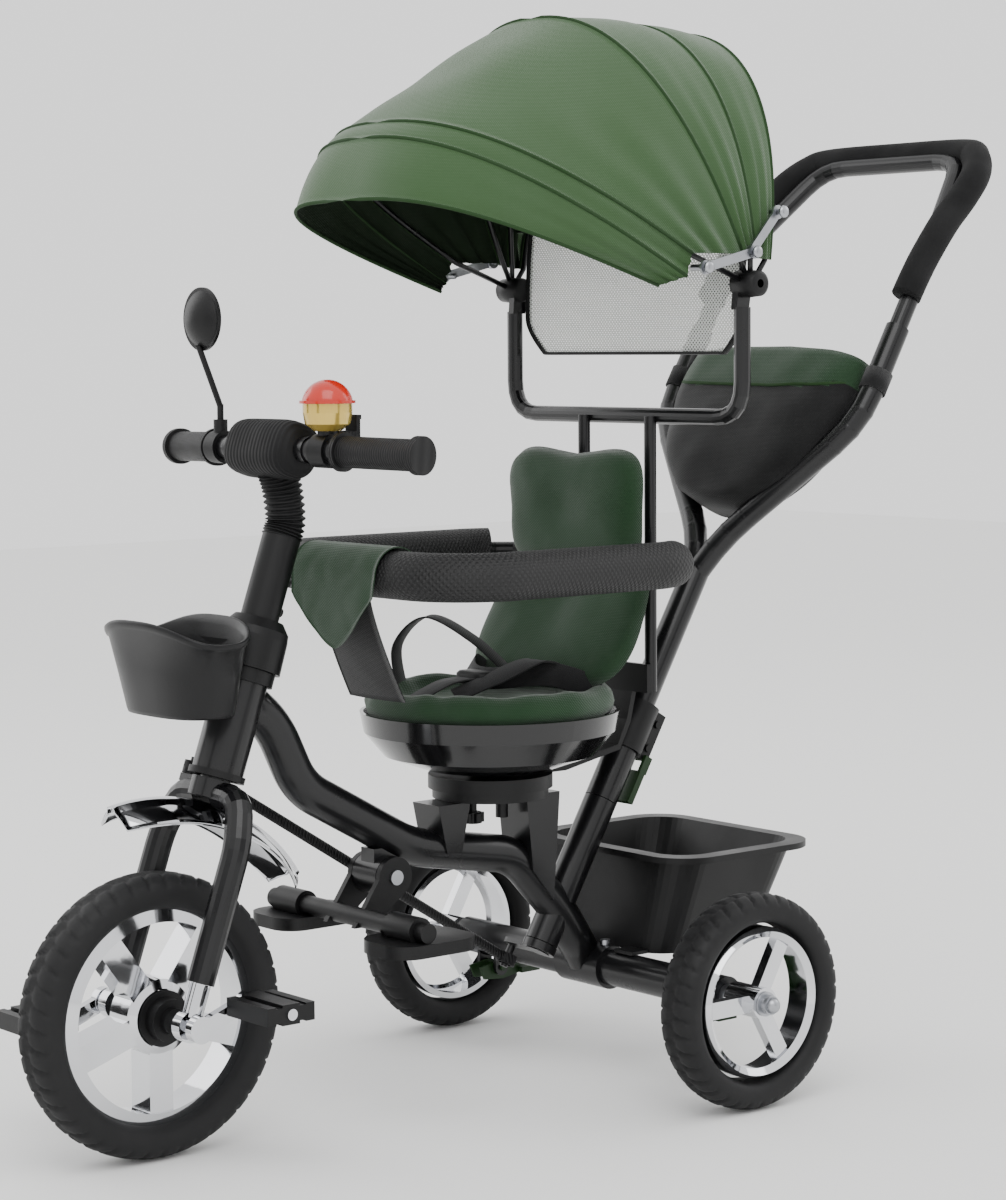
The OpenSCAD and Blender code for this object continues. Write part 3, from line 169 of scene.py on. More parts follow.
def skin(rows, columns, wrap_rows=False, wrap_columns=True, caps=False):
    """Faces over a grid of points listed row by row."""
    faces = []
    for i in range(rows if wrap_rows else rows - 1):
        for k in range(columns if wrap_columns else columns - 1):
            a, b = i * columns, (i + 1) % rows * columns
            faces.append((a + k, a + (k + 1) % columns, b + (k + 1) % columns, b + k))
    if caps:
        faces.append(tuple(range(columns - 1, -1, -1)))
        faces.append(tuple((rows - 1) * columns + k for k in range(columns)))
    return faces


def tyre(node_name, piece_name, body, radius, width, bead, blocks):
    """Revolved tyre with staggered tread blocks and fine ribs on the shoulders."""
    low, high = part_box(node_name)
    centre = [(low[i] + high[i]) / 2 for i in range(3)]
    across = 44
    around = blocks * 8
    points = []
    for i in range(around):
        turn = 2 * math.pi * i / around
        for k in range(across):
            a = 2 * math.pi * k / across
            half = width / 2
            wall = (radius - bead) / 2
            x = half * math.copysign(abs(math.cos(a)) ** 0.8, math.cos(a))
            r = bead + wall + wall * math.copysign(abs(math.sin(a)) ** 0.75, math.sin(a))
            top = max(0.0, math.sin(a))
            side = 1 if x > 0 else -1
            phase = (i / 8 + (0.5 if side > 0 else 0) + abs(x) / half * 0.45) % 1
            cut = 0.0
            if top > 0.45:
                cut = 0.0022 if phase < 0.22 or abs(x) < half * 0.07 else 0.0
                if half * 0.52 < abs(x) < half * 0.6:
                    cut = 0.0018
            elif top > 0.2:
                cut = 0.0014 if phase < 0.4 else 0.0
            r -= cut
            points.append((centre[0] + x, centre[1] + r * math.sin(turn), centre[2] + r * math.cos(turn)))
    piece = solid(piece_name, points, skin(around, across, True, True), rubber, body, [node_name])
    return piece


tyre("front_tyre", "front_tyre_tread", "front_wheel", 0.127, 0.05, 0.095, 44)
tyre("left_rear_tyre", "left_tyre_tread", "left_wheel", 0.1015, 0.042, 0.0735, 38)
tyre("right_rear_tyre", "right_tyre_tread", "right_wheel", 0.1015, 0.042, 0.0735, 38)

# ---- Steering ------------------------------------------------------------
# Ribbed rubber: bellows over the stem's neck, hand grips, the link's sleeve and the bell's trigger.

RAKE = math.radians(19.5)


def steer(x, u, w):
    """A point in the raked frame of the fork, given in millimetres."""
    return Vector((x, -515 + u * math.cos(RAKE) + w * math.sin(RAKE),
                   127 - u * math.sin(RAKE) + w * math.cos(RAKE))) / 1000


def tube(name, path, radius, material, body=None, sides=20, stands_for=(), side=Vector((1, 0, 0)), flat=1.0,
         closed=False):
    """Round or flattened tube along points in metres; radius is a number or a function of 0..1."""
    points = []
    count = len(path)
    for i, p in enumerate(path):
        a = path[i - 1] if closed or i > 0 else path[0]
        b = path[(i + 1) % count] if closed or i < count - 1 else path[-1]
        along = (b - a).normalized()
        u = side.cross(along).normalized()
        v = along.cross(u)
        r = radius(i / (count - 1)) if callable(radius) else radius
        for k in range(sides):
            t = 2 * math.pi * k / sides
            points.append(p + u * r * flat * math.cos(t) + v * r * math.sin(t))
    return solid(name, points, skin(count, sides, closed, True, not closed), material, body, stands_for)


def curve(points, steps=10):
    """Smooth line through points."""
    line = []
    last = len(points) - 1
    for i in range(last):
        p = [points[max(i - 1, 0)], points[i], points[i + 1], points[min(i + 2, last)]]
        for k in range(steps):
            t = k / steps
            line.append(0.5 * (2 * p[1] + (p[2] - p[0]) * t + (2 * p[0] - 5 * p[1] + 4 * p[2] - p[3]) * t * t
                               + (3 * p[1] - p[0] - 3 * p[2] + p[3]) * t ** 3))
    return line + [points[-1]]


def rounded_path(points, cut, steps=12):
    """Straight runs with each corner rounded off, cut metres before and after it."""
    line = [points[0]]
    for before, corner, after in zip(points, points[1:], points[2:]):
        a = corner + (before - corner).normalized() * cut
        b = corner + (after - corner).normalized() * cut
        for k in range(steps + 1):
            t = k / steps
            line.append(a * (1 - t) ** 2 + corner * 2 * t * (1 - t) + b * t * t)
    return line + [points[-1]]


# Spine: the frame's bent main tube, drawn smooth over its welded core.
spine_top = steer(0, 0, 294)
spine_line = rounded_path([spine_top, spine_top + Vector((0, 0.036, -0.030)),
                           steer(0, 62, 230) + Vector((0, 0.028, -0.010)), Vector((0, -0.225, 0.243)),
                           Vector((0, -0.100, 0.222)), Vector((0, -0.040, 0.158)),
                           Vector((0, -0.008, 0.1075))],
                          0.022)
tube("spine_tube", spine_line, 0.0184, paint, "frame", 48)

soft_rubber = surface("ribbed_rubber", "0a0a0b", "111112", 0.55, grain=1400, depth=0.0004)
neck = curve([steer(0, 0, 441), steer(0, -1, 457), steer(0, -13, 482), steer(0, -24, 497)], 26)
tube("stem_bellows_ribbed", neck, lambda t: 0.0172 + 0.0016 * math.sin(t * 2 * math.pi * 15), soft_rubber,
     "fork", 36, ["stem_bellows"])

grip_rubber = surface("grip_rubber", "0b0b0c", "121213", 0.5, rib=("X", 120), depth=0.0006)
finish(["hand_grips"], grip_rubber)
sleeve_rubber = surface("sleeve_rubber", "0a0a0b", "111113", 0.5, rib=("Y", 95), depth=0.001)
finish(["steering_link", "bell_lever"], sleeve_rubber, 0.0004)

# Foam cover on the bar: a rounded pad with closely set ribs.
cover_foam = surface("ribbed_foam", "0b0b0c", "131314", 0.75, rib=("X", 62), depth=0.0012)
rings = 40
pad = []
for i in range(rings):
    t = -1 + 2 * i / (rings - 1)
    end = (1 - abs(t) ** 7) ** (1 / 3)
    for k in range(40):
        a = 2 * math.pi * k / 40
        c, s = math.cos(a), math.sin(a)
        pad.append(steer(t * 50, -36 + 24.5 * end * math.copysign(abs(c) ** 0.75, c),
                         513 + 26 * end * math.copysign(abs(s) ** 0.75, s)))
solid("bar_cover_padded", pad, skin(rings, 40, False, True, True), cover_foam, "fork", ["bar_cover"])

# Bell: glossy moulded bowl and dome.
gold = surface("golden_plastic", "c9a84a", "e2c566", 0.16, metal=0.55, grain=300, depth=0.00005, coat=0.6)
red = surface("red_plastic", "b3200f", "cf2b18", 0.2, grain=300, depth=0.00005, coat=0.6)
finish(["bell_bowl"], gold)
finish(["bell_dome"], red)

# Mirror glass: silvered, with faint haze.
glass = surface("mirror_glass", "b9c0c4", "cdd3d6", 0.05, metal=1.0, grain=40, depth=0.00002)
finish(["mirror_glass"], glass, 0)

# Mudguard: thin bright-plated moulding, crowned across and narrower at its ends.
guard = []
columns = 25
for layer in (0, 1):
    for i in range(41):
        a = math.radians(-31 + 67 * i / 40)
        wide = 36 * (1 - 0.42 * abs((i - 20) / 20) ** 4)
        for k in range(columns):
            q = -1 + 2 * k / (columns - 1)
            r = 190 - 15 * abs(q) ** 1.8 + (3.5 if abs(q) < 0.28 else 0) - 2.2 * layer
            guard.append(steer(q * wide, r * math.sin(a), r * math.cos(a)))
half = 41 * columns
top = skin(41, columns, False, False)
rim = [(i * columns, (i + 1) * columns) for i in range(40)]
rim += [(half - columns + k, half - columns + k + 1) for k in range(columns - 1)]
rim += [((i + 1) * columns - 1, i * columns - 1) for i in range(40, 0, -1)]
rim += [(k + 1, k) for k in range(columns - 2, -1, -1)]
faces = [f[::-1] for f in top] + [tuple(v + half for v in f) for f in top]
faces += [(a, b, b + half, a + half) for a, b in rim]
solid("mudguard_crowned", guard, faces, chrome, "fork", ["mudguard"])

# ---- Front basket --------------------------------------------------------
# Moulded basket with a waved, rolled lip, hung on the bracket.

tub_plastic = surface("basket_plastic", "09090a", "101012", 0.34, grain=800, depth=0.00015)
levels = [(0.0, 0.20), (0.0, 0.7), (0.0, 0.985), (0.04, 1.0), (0.5, 1.045), (0.9, 1.085), (0.915, 1.12),
          (0.95, 1.135), (0.985, 1.13), (1.0, 1.10), (0.99, 1.06), (0.9, 1.035), (0.5, 0.99), (0.07, 0.955),
          (0.045, 0.9), (0.045, 0.3)]
tub = []
for height, spread in levels:
    for k in range(72):
        a = 2 * math.pi * k / 72
        c, s = math.cos(a), math.sin(a)
        x = (60 + 12 * height) * spread * math.copysign(abs(c) ** 0.72, c)
        y = -479 - 3 * height + (33 + 7 * height) * spread * math.copysign(abs(s) ** 0.72, s)
        z = 392 + height * (76 + 9 * math.cos(2 * a + math.pi))
        tub.append(Vector((x, y, z)) / 1000)
solid("front_basket_moulded", tub, skin(len(levels), 72, False, True, True), tub_plastic, "frame",
      ["front_basket"])

# ---- Seat ----------------------------------------------------------------
# Glossy moulded bowl under a sewn, foam-filled cover of plain-woven polyester.

shell_gloss = surface("glossy_black_plastic", "0c0c0d", "131314", 0.12, grain=120, depth=0.00008, coat=0.5)
finish(["seat_shell"], shell_gloss, 0.0008)
cloth = surface("green_cloth", "16331a", "1d4021", 0.85, weave=230, depth=0.0004, sheen=0.25)
black_cloth = surface("black_cloth", "070708", "0d0e0f", 0.85, weave=260, depth=0.0004, sheen=0.2)


def ripple(p, size_m, amount, seed=0.0):
    """A soft wrinkle height at a point."""
    return amount * noise.noise(Vector(p) / size_m + Vector((seed, seed * 1.7, 0)))


def quilt(name, outline, place, thick, material, body, stands_for=(), rings_in=12, back=0.35, tufts=(),
          seed=1.0):
    """A stuffed pad inside an outline. place maps a flat point to its place and outward direction."""
    points = []
    count = len(outline)
    centre = sum(outline, Vector((0, 0))) / count
    rows = []
    for side_ in (1, -1):
        order = range(rings_in + 1) if side_ == 1 else range(rings_in - 1, -1, -1)
        for j in order:
            f = (j + 0.02) / (rings_in + 0.02) if j else 0.02
            rows.append((side_, f))
    for side_, f in rows:
        for q in outline:
            flat = centre + (q - centre) * f
            puff = (1 - f ** 4) ** 0.5 if f < 1 else 0.0
            depth = thick * puff * (1 if side_ == 1 else -back)
            for tx, ty, reach, strength in tufts:
                gap = (flat - Vector((tx, ty))).length
                depth *= 1 - strength * math.exp(-(gap / reach) ** 2)
            edge = f ** 3 * (1 - f) * 4
            depth += side_ * (ripple((flat.x, flat.y, 0), 0.022, 0.003, seed) * edge
                              + ripple((flat.x, flat.y, 0), 0.06, 0.003, seed + 4) * puff)
            spot, out = place(flat)
            points.append(spot + out * depth)
    piece = solid(name, points, skin(len(rows), count, False, True, True), material, body, stands_for)
    return piece


def rounded(half_w, half_h, power, count=72, cx=0.0, cy=0.0):
    """Superellipse outline."""
    line = []
    for k in range(count):
        a = 2 * math.pi * k / count
        c, s = math.cos(a), math.sin(a)
        line.append(Vector((cx + half_w * math.copysign(abs(c) ** (2 / power), c),
                            cy + half_h * math.copysign(abs(s) ** (2 / power), s))))
    return line


# Seat cushion: round, dished, with a stuffed rim and radial creases.
cushion = []
profile = [(6, 374), (30, 373.5), (55, 374), (74, 376), (84, 378), (90, 381), (96, 386.5), (104, 390),
           (112, 389), (118, 383), (120, 375), (118, 367), (113, 362), (100, 358)]
for r, z in profile:
    for k in range(120):
        a = 2 * math.pi * k / 120
        crease = 0.0
        if 84 < r < 121:
            crease = 1.3 * math.sin(a * 13 + 2 * noise.noise(Vector((math.cos(a), math.sin(a), 0)) * 2))
        dent = ripple((r * math.cos(a) / 1000, r * math.sin(a) / 1000, 0), 0.03, 2.2)
        cushion.append(Vector(((r + crease * 0.4) * math.cos(a), -127 + (r + crease * 0.4) * math.sin(a),
                               z + crease + dent)) / 1000)
seat = solid("seat_cushion", cushion, skin(len(profile), 120, False, True, True), cloth, "seat", ["seat_pad"])


def back_place(q):
    """The back cover's line: upright above the ring, sweeping forward to the seat below it."""
    drop = max(0.0, 0.512 - q.y)
    y = -0.006 - 0.062 * (drop / 0.125) ** 1.5 - 0.10 * abs(q.x) ** 1.7
    tilt = 0.062 * 1.5 / 0.125 * (drop / 0.125) ** 0.5
    return Vector((q.x, y, q.y)), Vector((0, -1, tilt)).normalized()


lower = [Vector((q.x * (1.02 + 0.12 * (0.46 - q.y) / 0.08), q.y))
         for q in rounded(0.108, 0.074, 3.6, 88, 0, 0.458)]
quilt("lower_back_pad", lower, back_place, 0.019, cloth, "seat", tufts=[(0, 0.458, 0.03, 0.25)])

ears = []
for q in rounded(0.099, 0.060, 4.5, 104, 0, 0.553):
    up = max(0.0, (q.y - 0.553) / 0.060)
    dip = 0.005 * up * math.exp(-(q.x / 0.045) ** 2)
    ears.append(Vector((q.x * (1 - 0.05 * (1 - abs(up))), q.y - dip + 0.005 * up * abs(q.x) / 0.099)))
quilt("head_pillow", ears, lambda q: (Vector((q.x, -0.014, q.y)), Vector((0, -1, 0))), 0.024, cloth, "seat",
      tufts=[(0, 0.56, 0.025, 0.2)], seed=3.0)

# ---- Guard ring ----------------------------------------------------------
# Closed-cell foam on the steel ring, pressed with a fine diamond pattern, and a cloth guard at its front.

foam = bpy.data.materials.new("knurled_foam")
foam.use_nodes = True
tree = foam.node_tree
tree.nodes.clear()
uv = node(tree, "ShaderNodeUVMap", uv_map="wrap").outputs[0]
lines = [node(tree, "ShaderNodeTexWave", {"Vector": node(tree, "ShaderNodeMapping", {
    "Vector": uv, "Rotation": (0, 0, math.radians(angle))}).outputs[0], "Scale": 78}).outputs["Fac"]
    for angle in (36, -36)]
knurl = node(tree, "ShaderNodeMath", {0: lines[0], 1: lines[1]}, operation="MULTIPLY").outputs[0]
tint = node(tree, "ShaderNodeMix", {0: knurl, 6: tone("09090a"), 7: tone("19191a")},
            data_type="RGBA").outputs[2]
raised = node(tree, "ShaderNodeBump", {"Height": knurl, "Distance": 0.0012, "Strength": 0.9}).outputs[0]
body = node(tree, "ShaderNodeBsdfPrincipled", {"Base Color": tint, "Roughness": 0.62, "Normal": raised})
node(tree, "ShaderNodeOutputMaterial", {"Surface": body.outputs[0]})


def wrap_uv(piece, path, sides, radius):
    """UVs in metres along and around a tube."""
    layer = piece.data.uv_layers.new(name="wrap")
    run = [0.0]
    for a, b in zip(path, path[1:]):
        run.append(run[-1] + (b - a).length)
    around = 2 * math.pi * radius / sides
    for face in piece.data.polygons:
        if len(face.vertices) > 4:
            continue
        first = min(v % sides for v in face.vertices)
        seam = any(v % sides == sides - 1 for v in face.vertices) and first == 0
        for loop in face.loop_indices:
            v = piece.data.loops[loop].vertex_index
            k = v % sides
            if seam and k == 0:
                k = sides
            layer.data[loop].uv = (run[v // sides], k * around)


ring = []
half_x, rear_y, front_y, bend = 0.146, 0.017, -0.285, 0.066
for cx, cy, start in ((-half_x + bend, rear_y - bend, 150), (-half_x + bend, front_y + bend, 180),
                      (half_x - bend, front_y + bend, 270), (half_x - bend, rear_y - bend, 0)):
    sweep = (30 if start == 150 else 30 if start == 0 else 90)
    for i in range(17):
        a = math.radians(start + sweep * i / 16)
        ring.append(Vector((cx + bend * math.cos(a), cy + bend * math.sin(a), 0.507)))
fine_ring = []
for a, b in zip(ring, ring[1:]):
    steps = max(1, int((b - a).length / 0.008))
    fine_ring += [a.lerp(b, k / steps) for k in range(steps)]
fine_ring.append(ring[-1])
sleeve = tube("armrest_foam_sleeve", fine_ring, 0.0222, foam, "seat", 40, ["armrest_foam"], Vector((0, 0, 1)))
wrap_uv(sleeve, fine_ring, 40, 0.0222)

# Cloth guard wrapped over the ring's front, with a pointed flap; its crotch panel runs down to the seat.


def cloth_sheet(name, grid, thickness, outer, inner, body, stands_for=(), bend_between=None):
    """Sewn sheet from rows of points: outer skin, lining and closed edges."""
    rows, columns = len(grid), len(grid[0])
    points, inner_face = [], []
    for i in range(rows):
        for k in range(columns):
            du = grid[min(i + 1, rows - 1)][k] - grid[max(i - 1, 0)][k]
            dv = grid[i][min(k + 1, columns - 1)] - grid[i][max(k - 1, 0)]
            out = du.cross(dv)
            out = out.normalized() if out.length > 1e-12 else Vector((0, 0, 1))
            points.append(grid[i][k])
            inner_face.append(grid[i][k] - out * thickness)
    faces = skin(rows, columns, False, False)
    count = rows * columns
    edge = [(i * columns, (i + 1) * columns) for i in range(rows - 1)]
    edge += [(count - columns + k, count - columns + k + 1) for k in range(columns - 1)]
    edge += [((i + 1) * columns - 1, i * columns - 1) for i in range(rows - 1, 0, -1)]
    edge += [(k + 1, k) for k in range(columns - 2, -1, -1)]
    every = [f[::-1] for f in faces] + [tuple(v + count for v in f) for f in faces]
    every += [(a, b, b + count, a + count) for a, b in edge]
    piece = solid(name, points + inner_face, every, outer, None, stands_for)
    piece.data.materials.append(inner)
    for face in piece.data.polygons:
        if min(face.vertices) >= count:
            face.material_index = 1
    if bend_between:
        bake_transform(piece)
    else:
        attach(piece, body)
    return piece


wrap = []
reach = 0.0262
roll = reach * math.radians(200)
for i in range(34):
    row = []
    for k in range(33):
        q = -1 + 2 * k / 32
        tip = 0.070 - 0.050 * abs(q) ** 1.5
        s = i / 33 * (roll + tip)
        x = 0.064 * q * (1 - 0.12 * max(0.0, s - roll) / 0.07)
        if s < roll:
            a = math.radians(-20) + s / reach
            y = -0.285 + reach * math.cos(a)
            z = 0.507 + reach * math.sin(a)
        else:
            y = -0.285 - reach - 0.003 * math.sin((s - roll) * 50)
            z = 0.507 - (s - roll)
        wave = ripple((x, s, 0), 0.03, 0.0018, 5)
        row.append(Vector((x, y - abs(wave), z)))
    wrap.append(row)
cloth_sheet("guard_cloth", wrap, 0.0012, cloth, cloth, "seat",
            ["guard_pad"])

crotch = []
for i in range(22):
    t = i / 21
    y = -0.300 + 0.038 * t ** 1.3
    z = 0.487 - 0.100 * t
    crotch.append([Vector((0.040 * (-1 + 2 * k / 14) * (1 + 0.06 * t),
                           y - 0.004 * (1 - ((k - 7) / 7) ** 2), z))
                   for k in range(15)])
cloth_sheet("crotch_panel", crotch, 0.0015, black_cloth, black_cloth, "seat")

# Safety harness: woven webbing with a moulded buckle.
webbing = surface("black_webbing", "070709", "0e0f12", 0.7, weave=420, depth=0.0005, sheen=0.15)


def strap(name, path, wide, body_name, lie=Vector((1, 0, 0)), thick=0.0016):
    """Flat webbing along points; lie is the way its width runs."""
    points = []
    for i, p in enumerate(path):
        along = (path[min(i + 1, len(path) - 1)] - path[max(i - 1, 0)]).normalized()
        across = (lie - along * lie.dot(along)).normalized()
        up = along.cross(across)
        for a, b in ((-1, -0.6), (-0.96, -1), (0.96, -1), (1, -0.6),
                     (1, 0.6), (0.96, 1), (-0.96, 1), (-1, 0.6)):
            points.append(p + across * wide / 2 * a + up * thick / 2 * b)
    return solid(name, points, skin(len(path), 8, False, True, True), webbing, body_name)


belt = curve([Vector(p) for p in ((0.085, -0.06, 0.386), (0.06, -0.10, 0.402), (0.02, -0.135, 0.398),
                                  (-0.02, -0.135, 0.398), (-0.06, -0.10, 0.402), (-0.085, -0.06, 0.386))], 12)
lap = strap("lap_strap", belt, 0.024, "seat", Vector((0, 0.5, 0.6)))
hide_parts("harness")
arch_strap = curve([Vector(p) for p in ((-0.09, -0.165, 0.385), (-0.088, -0.17, 0.425),
                                        (-0.066, -0.15, 0.452),
                                        (-0.04, -0.115, 0.43), (-0.02, -0.08, 0.392))], 12)
strap("left_shoulder_strap", arch_strap, 0.024, "seat", Vector((0.5, -0.9, 0)))
far_strap = curve([Vector(p) for p in ((0.045, -0.07, 0.40), (0.05, -0.11, 0.415), (0.03, -0.15, 0.398),
                                       (0.012, -0.18, 0.384))], 12)
strap("right_shoulder_strap", far_strap, 0.024, "seat", Vector((0.9, 0.3, 0)))
front_strap = curve([Vector(p) for p in ((0, -0.145, 0.398), (0, -0.18, 0.396), (0, -0.215, 0.384))], 10)
strap("crotch_strap", front_strap, 0.026, "seat")
buckle = [Vector((0.021 * c1 * s, -0.14 + 0.016 * c2 * s, 0.398 + 0.006 * h))
          for h, s in ((-1, 0.9), (-0.6, 1), (0.6, 1), (1, 0.88), (1.05, 0.4))
          for c1, c2 in ((math.copysign(abs(math.cos(a)) ** 0.5, math.cos(a)),
                          math.copysign(abs(math.sin(a)) ** 0.5, math.sin(a)))
                         for a in (2 * math.pi * k / 32 for k in range(32)))]
solid("buckle", buckle, skin(5, 32, False, True, True), plastic, "seat")

# ---- Canopy --------------------------------------------------------------
# Plain-woven cloth stretched over four steel bows, its inner face painted darker as shade, with a wired brim
# and a mesh window.

canopy_cloth = surface("canopy_cloth", "334f2c", "3f5e37", 0.82, weave=240, depth=0.00035, sheen=0.3, patch=7)
# Painted shade: a darker copy of the canopy cloth, same weave, for the canopy's inner faces and underside.
inner_face = surface("canopy_painted_shade_inside", "12200f", "192b15", 0.9, weave=240, depth=0.0003)
piping = surface("cloth_piping", "203a1b", "2a4824", 0.8, weave=300, depth=0.0003)


def hoop(wide, y, z, plane, reach, power, low=3.0, count=61, grow=0.0):
    """Points of a bow from the rider's left over the top to the right, in metres."""
    line = []
    p = math.radians(plane)
    for k in range(count):
        t = math.radians(low + (180 - 2 * low) * k / (count - 1))
        c, s = math.cos(t), math.sin(t)
        k_ = (reach + grow) * abs(s) ** (2 / power)
        line.append(Vector(((wide + grow) * math.copysign(abs(c) ** (2 / power), c),
                            y - k_ * math.cos(p), z + k_ * math.sin(p))) / 1000)
    return line


edges = {
    "rear": hoop(184, 64, 769, 98, 251, 2.5),
    "middle": hoop(182, 52, 771, 85, 253, 2.45),
    "ridge": hoop(180, 46, 776, 65, 274, 2.43),
    "front": hoop(179, -2, 784, 28, 286, 2.57),
    "seam": hoop(179.5, -8, 762, 28, 301, 2.57),
    "brim": hoop(162, -6, 752, 18, 305, 3.3),
}


def panel(name, first, last, rows, bulge, body=None, join=None, stands_for=()):
    """Cloth between two bows, gently full between them and wrinkled towards the hinge."""
    grid = []
    pivot = Vector((0, 0.05, 0.80))
    for i in range(rows):
        f = i / (rows - 1)
        row = []
        for k, (a, b) in enumerate(zip(edges[first], edges[last])):
            p = a.lerp(b, f)
            out = (p - pivot).normalized()
            full = bulge * 4 * f * (1 - f)
            side = abs(k / 30 - 1)
            fold = 0.0028 * side ** 3 * math.sin(f * 19 + k * 0.05) * 4 * f * (1 - f)
            row.append(p + out * (full + fold + ripple(p, 0.075, 0.0035, 7) * 4 * f * (1 - f)))
        grid.append(row[::-1])
    # The underside of each panel gets the painted-shade copy of the cloth.
    return cloth_sheet(name, grid, 0.0011, canopy_cloth, inner_face, body,
                       stands_for, join)


def bow(name, key, body_name):
    """Flat steel bow just inside the cloth."""
    inner = [Vector((p.x * 0.985, p.y, p.z)) - (p - Vector((0, 0.05, 0.78))).normalized() * 0.0035
             for p in edges[key]]
    path = [Vector((inner[0].x, 0.05, 0.77))] + inner + [Vector((inner[-1].x, 0.05, 0.77))]
    return tube(name, path, 0.0027, paint, body_name, 12)


def seam(name, key, body_name, radius=0.0017):
    """Corded seam sewn over a bow."""
    return tube(name, edges[key], radius, piping, body_name, 10)


bow("rear_bow_steel", "rear", "seat")
bow("middle_bow_steel", "middle", "middle_bow")
bow("ridge_bow_steel", "ridge", "ridge_bow")
bow("front_bow_steel", "front", "front_bow")


def between(a, b):
    """Start and end points at the crown of two bows."""
    return edges[a][30], edges[b][30]


panel("canopy_rear_panel", "rear", "middle", 12, 0.003,
      join=("seat", "middle_bow", *between("rear", "middle")), stands_for=["rear_bow"])
panel("canopy_middle_panel", "middle", "ridge", 14, 0.003,
      join=("middle_bow", "ridge_bow", *between("middle", "ridge")), stands_for=["middle_bow"])
panel("canopy_front_panel", "ridge", "front", 26, 0.002,
      join=("ridge_bow", "front_bow", *between("ridge", "front")), stands_for=["ridge_bow"])
panel("canopy_brim_fold", "front", "seam", 6, 0.001, body="front_bow", stands_for=["front_bow"])
panel("canopy_brim", "seam", "brim", 12, 0.003, body="front_bow")
for key, ride_on in (("rear", "seat"), ("middle", "middle_bow"), ("ridge", "ridge_bow"),
                     ("front", "front_bow"), ("seam", "front_bow"), ("brim", "front_bow")):
    seam("canopy_seam_" + key, key, ride_on)

# Mesh window: open white weave with a black binding, hung from the rear bow.
net = bpy.data.materials.new("white_mesh")
net.use_nodes = True
tree = net.node_tree
tree.nodes.clear()
at = node(tree, "ShaderNodeTexCoord").outputs["Object"]
threads = [node(tree, "ShaderNodeTexWave", {"Vector": node(tree, "ShaderNodeMapping", {
    "Vector": at, "Rotation": (0, math.radians(angle), 0)}).outputs[0], "Scale": 105},
    bands_direction="X").outputs["Fac"] for angle in (45, -45)]
most = node(tree, "ShaderNodeMath", {0: threads[0], 1: threads[1]}, operation="MAXIMUM").outputs[0]
cover = node(tree, "ShaderNodeMapRange", {0: most, 1: 0.55, 2: 0.75, 3: 0.0, 4: 1.0}).outputs[0]
relief = node(tree, "ShaderNodeBump", {"Height": most, "Distance": 0.0003}).outputs[0]
shades = node(tree, "ShaderNodeMix", {0: most, 6: tone("b9bcb8"), 7: tone("e6e8e4")},
              data_type="RGBA").outputs[2]
thread = node(tree, "ShaderNodeBsdfPrincipled", {"Base Color": shades, "Roughness": 0.7, "Normal": relief,
                                                 "Alpha": cover})
node(tree, "ShaderNodeOutputMaterial", {"Surface": thread.outputs[0]})

window = []
for i in range(34):
    f = i / 33
    z = 0.705 + 0.125 * f
    row = []
    for k in range(45):
        q = -1 + 2 * k / 44
        wide = 0.158 - 0.026 * max(0.0, 1 - f / 0.28) ** 1.6
        y = 0.0575 + 0.004 * max(0.0, (z - 0.77) / 0.06) + ripple((q * wide, 0, z), 0.05, 0.002, 2)
        row.append(Vector((-q * wide, y, z)))
    window.append(row)
cloth_sheet("mesh_window", window, 0.0006, net, net, "seat")
border = [row[0] for row in reversed(window)] + window[0][1:-1] + [row[-1] for row in window]
tube("window_binding", border, 0.0042, black_cloth, "seat", 12, side=Vector((0, 1, 0)), flat=0.4)
upper = []
for i in range(20):
    f = i / 19
    row = []
    for k in range(61):
        top_point = edges["rear"][k]
        narrow = 1 - 0.1 * (1 - f) if top_point.z > 0.83 else 1
        base = Vector((top_point.x * narrow, 0.0615, 0.83))
        row.append(base.lerp(top_point, f))
    upper.append(row)
# Painted shade on the back panel's face towards the seat; the cloth on its outside.
cloth_sheet("canopy_back_panel", upper, 0.0009, inner_face, canopy_cloth, "seat")

# Stay rivets: domed steel heads through the links, on both sides.
for side in (1, -1):
    word = "left" if side == 1 else "right"
    for where, y, z, body_name in (("rear", 0.0710, 0.8368, "seat"), ("elbow", 0.037, 0.799, "rear_stays"),
                                   ("front", -0.025, 0.784, "front_bow")):
        points = []
        inner_end = 0.1885 if where == "elbow" else 0.1765
        for out, r in ((inner_end, 0.0030), (0.1985, 0.0030), (0.1986, 0.0058),
                       (0.2000, 0.0056), (0.2013, 0.0042), (0.2019, 0.0015)):
            points += [Vector((side * out, y + r * math.cos(a), z + r * math.sin(a)))
                       for a in (2 * math.pi * k / 24 for k in range(24))]
        faces = skin(6, 24, False, True, True)
        if side == 1:
            faces = [f[::-1] for f in faces]
        solid(where + "_rivet_" + word, points, faces, zinc, body_name)
    # Moulded hinge block on the hoop, with a round boss.
    hub = []
    for out, r in ((0.158, 0.010), (0.160, 0.0125), (0.176, 0.0130), (0.188, 0.0120), (0.1895, 0.009)):
        hub += [Vector((side * out, 0.05 + r * math.cos(a), 0.77 + r * math.sin(a)))
                for a in (2 * math.pi * k / 28 for k in range(28))]
    faces = skin(5, 28, False, True, True)
    if side == 1:
        faces = [f[::-1] for f in faces]
    solid("hinge_boss_" + word, hub, faces, plastic, "seat")

# ---- Push handle ---------------------------------------------------------
# Foam sleeve on the loop, and a storage bag sewn of cloth, strapped between the arms.

LEAN = math.radians(30.5)


def push(x, s, t):
    """A point in the leaning frame of the push handle, given in millimetres."""
    return Vector((x, -41 + s * math.cos(LEAN) + t * math.sin(LEAN),
                   170 - s * math.sin(LEAN) + t * math.cos(LEAN))) / 1000


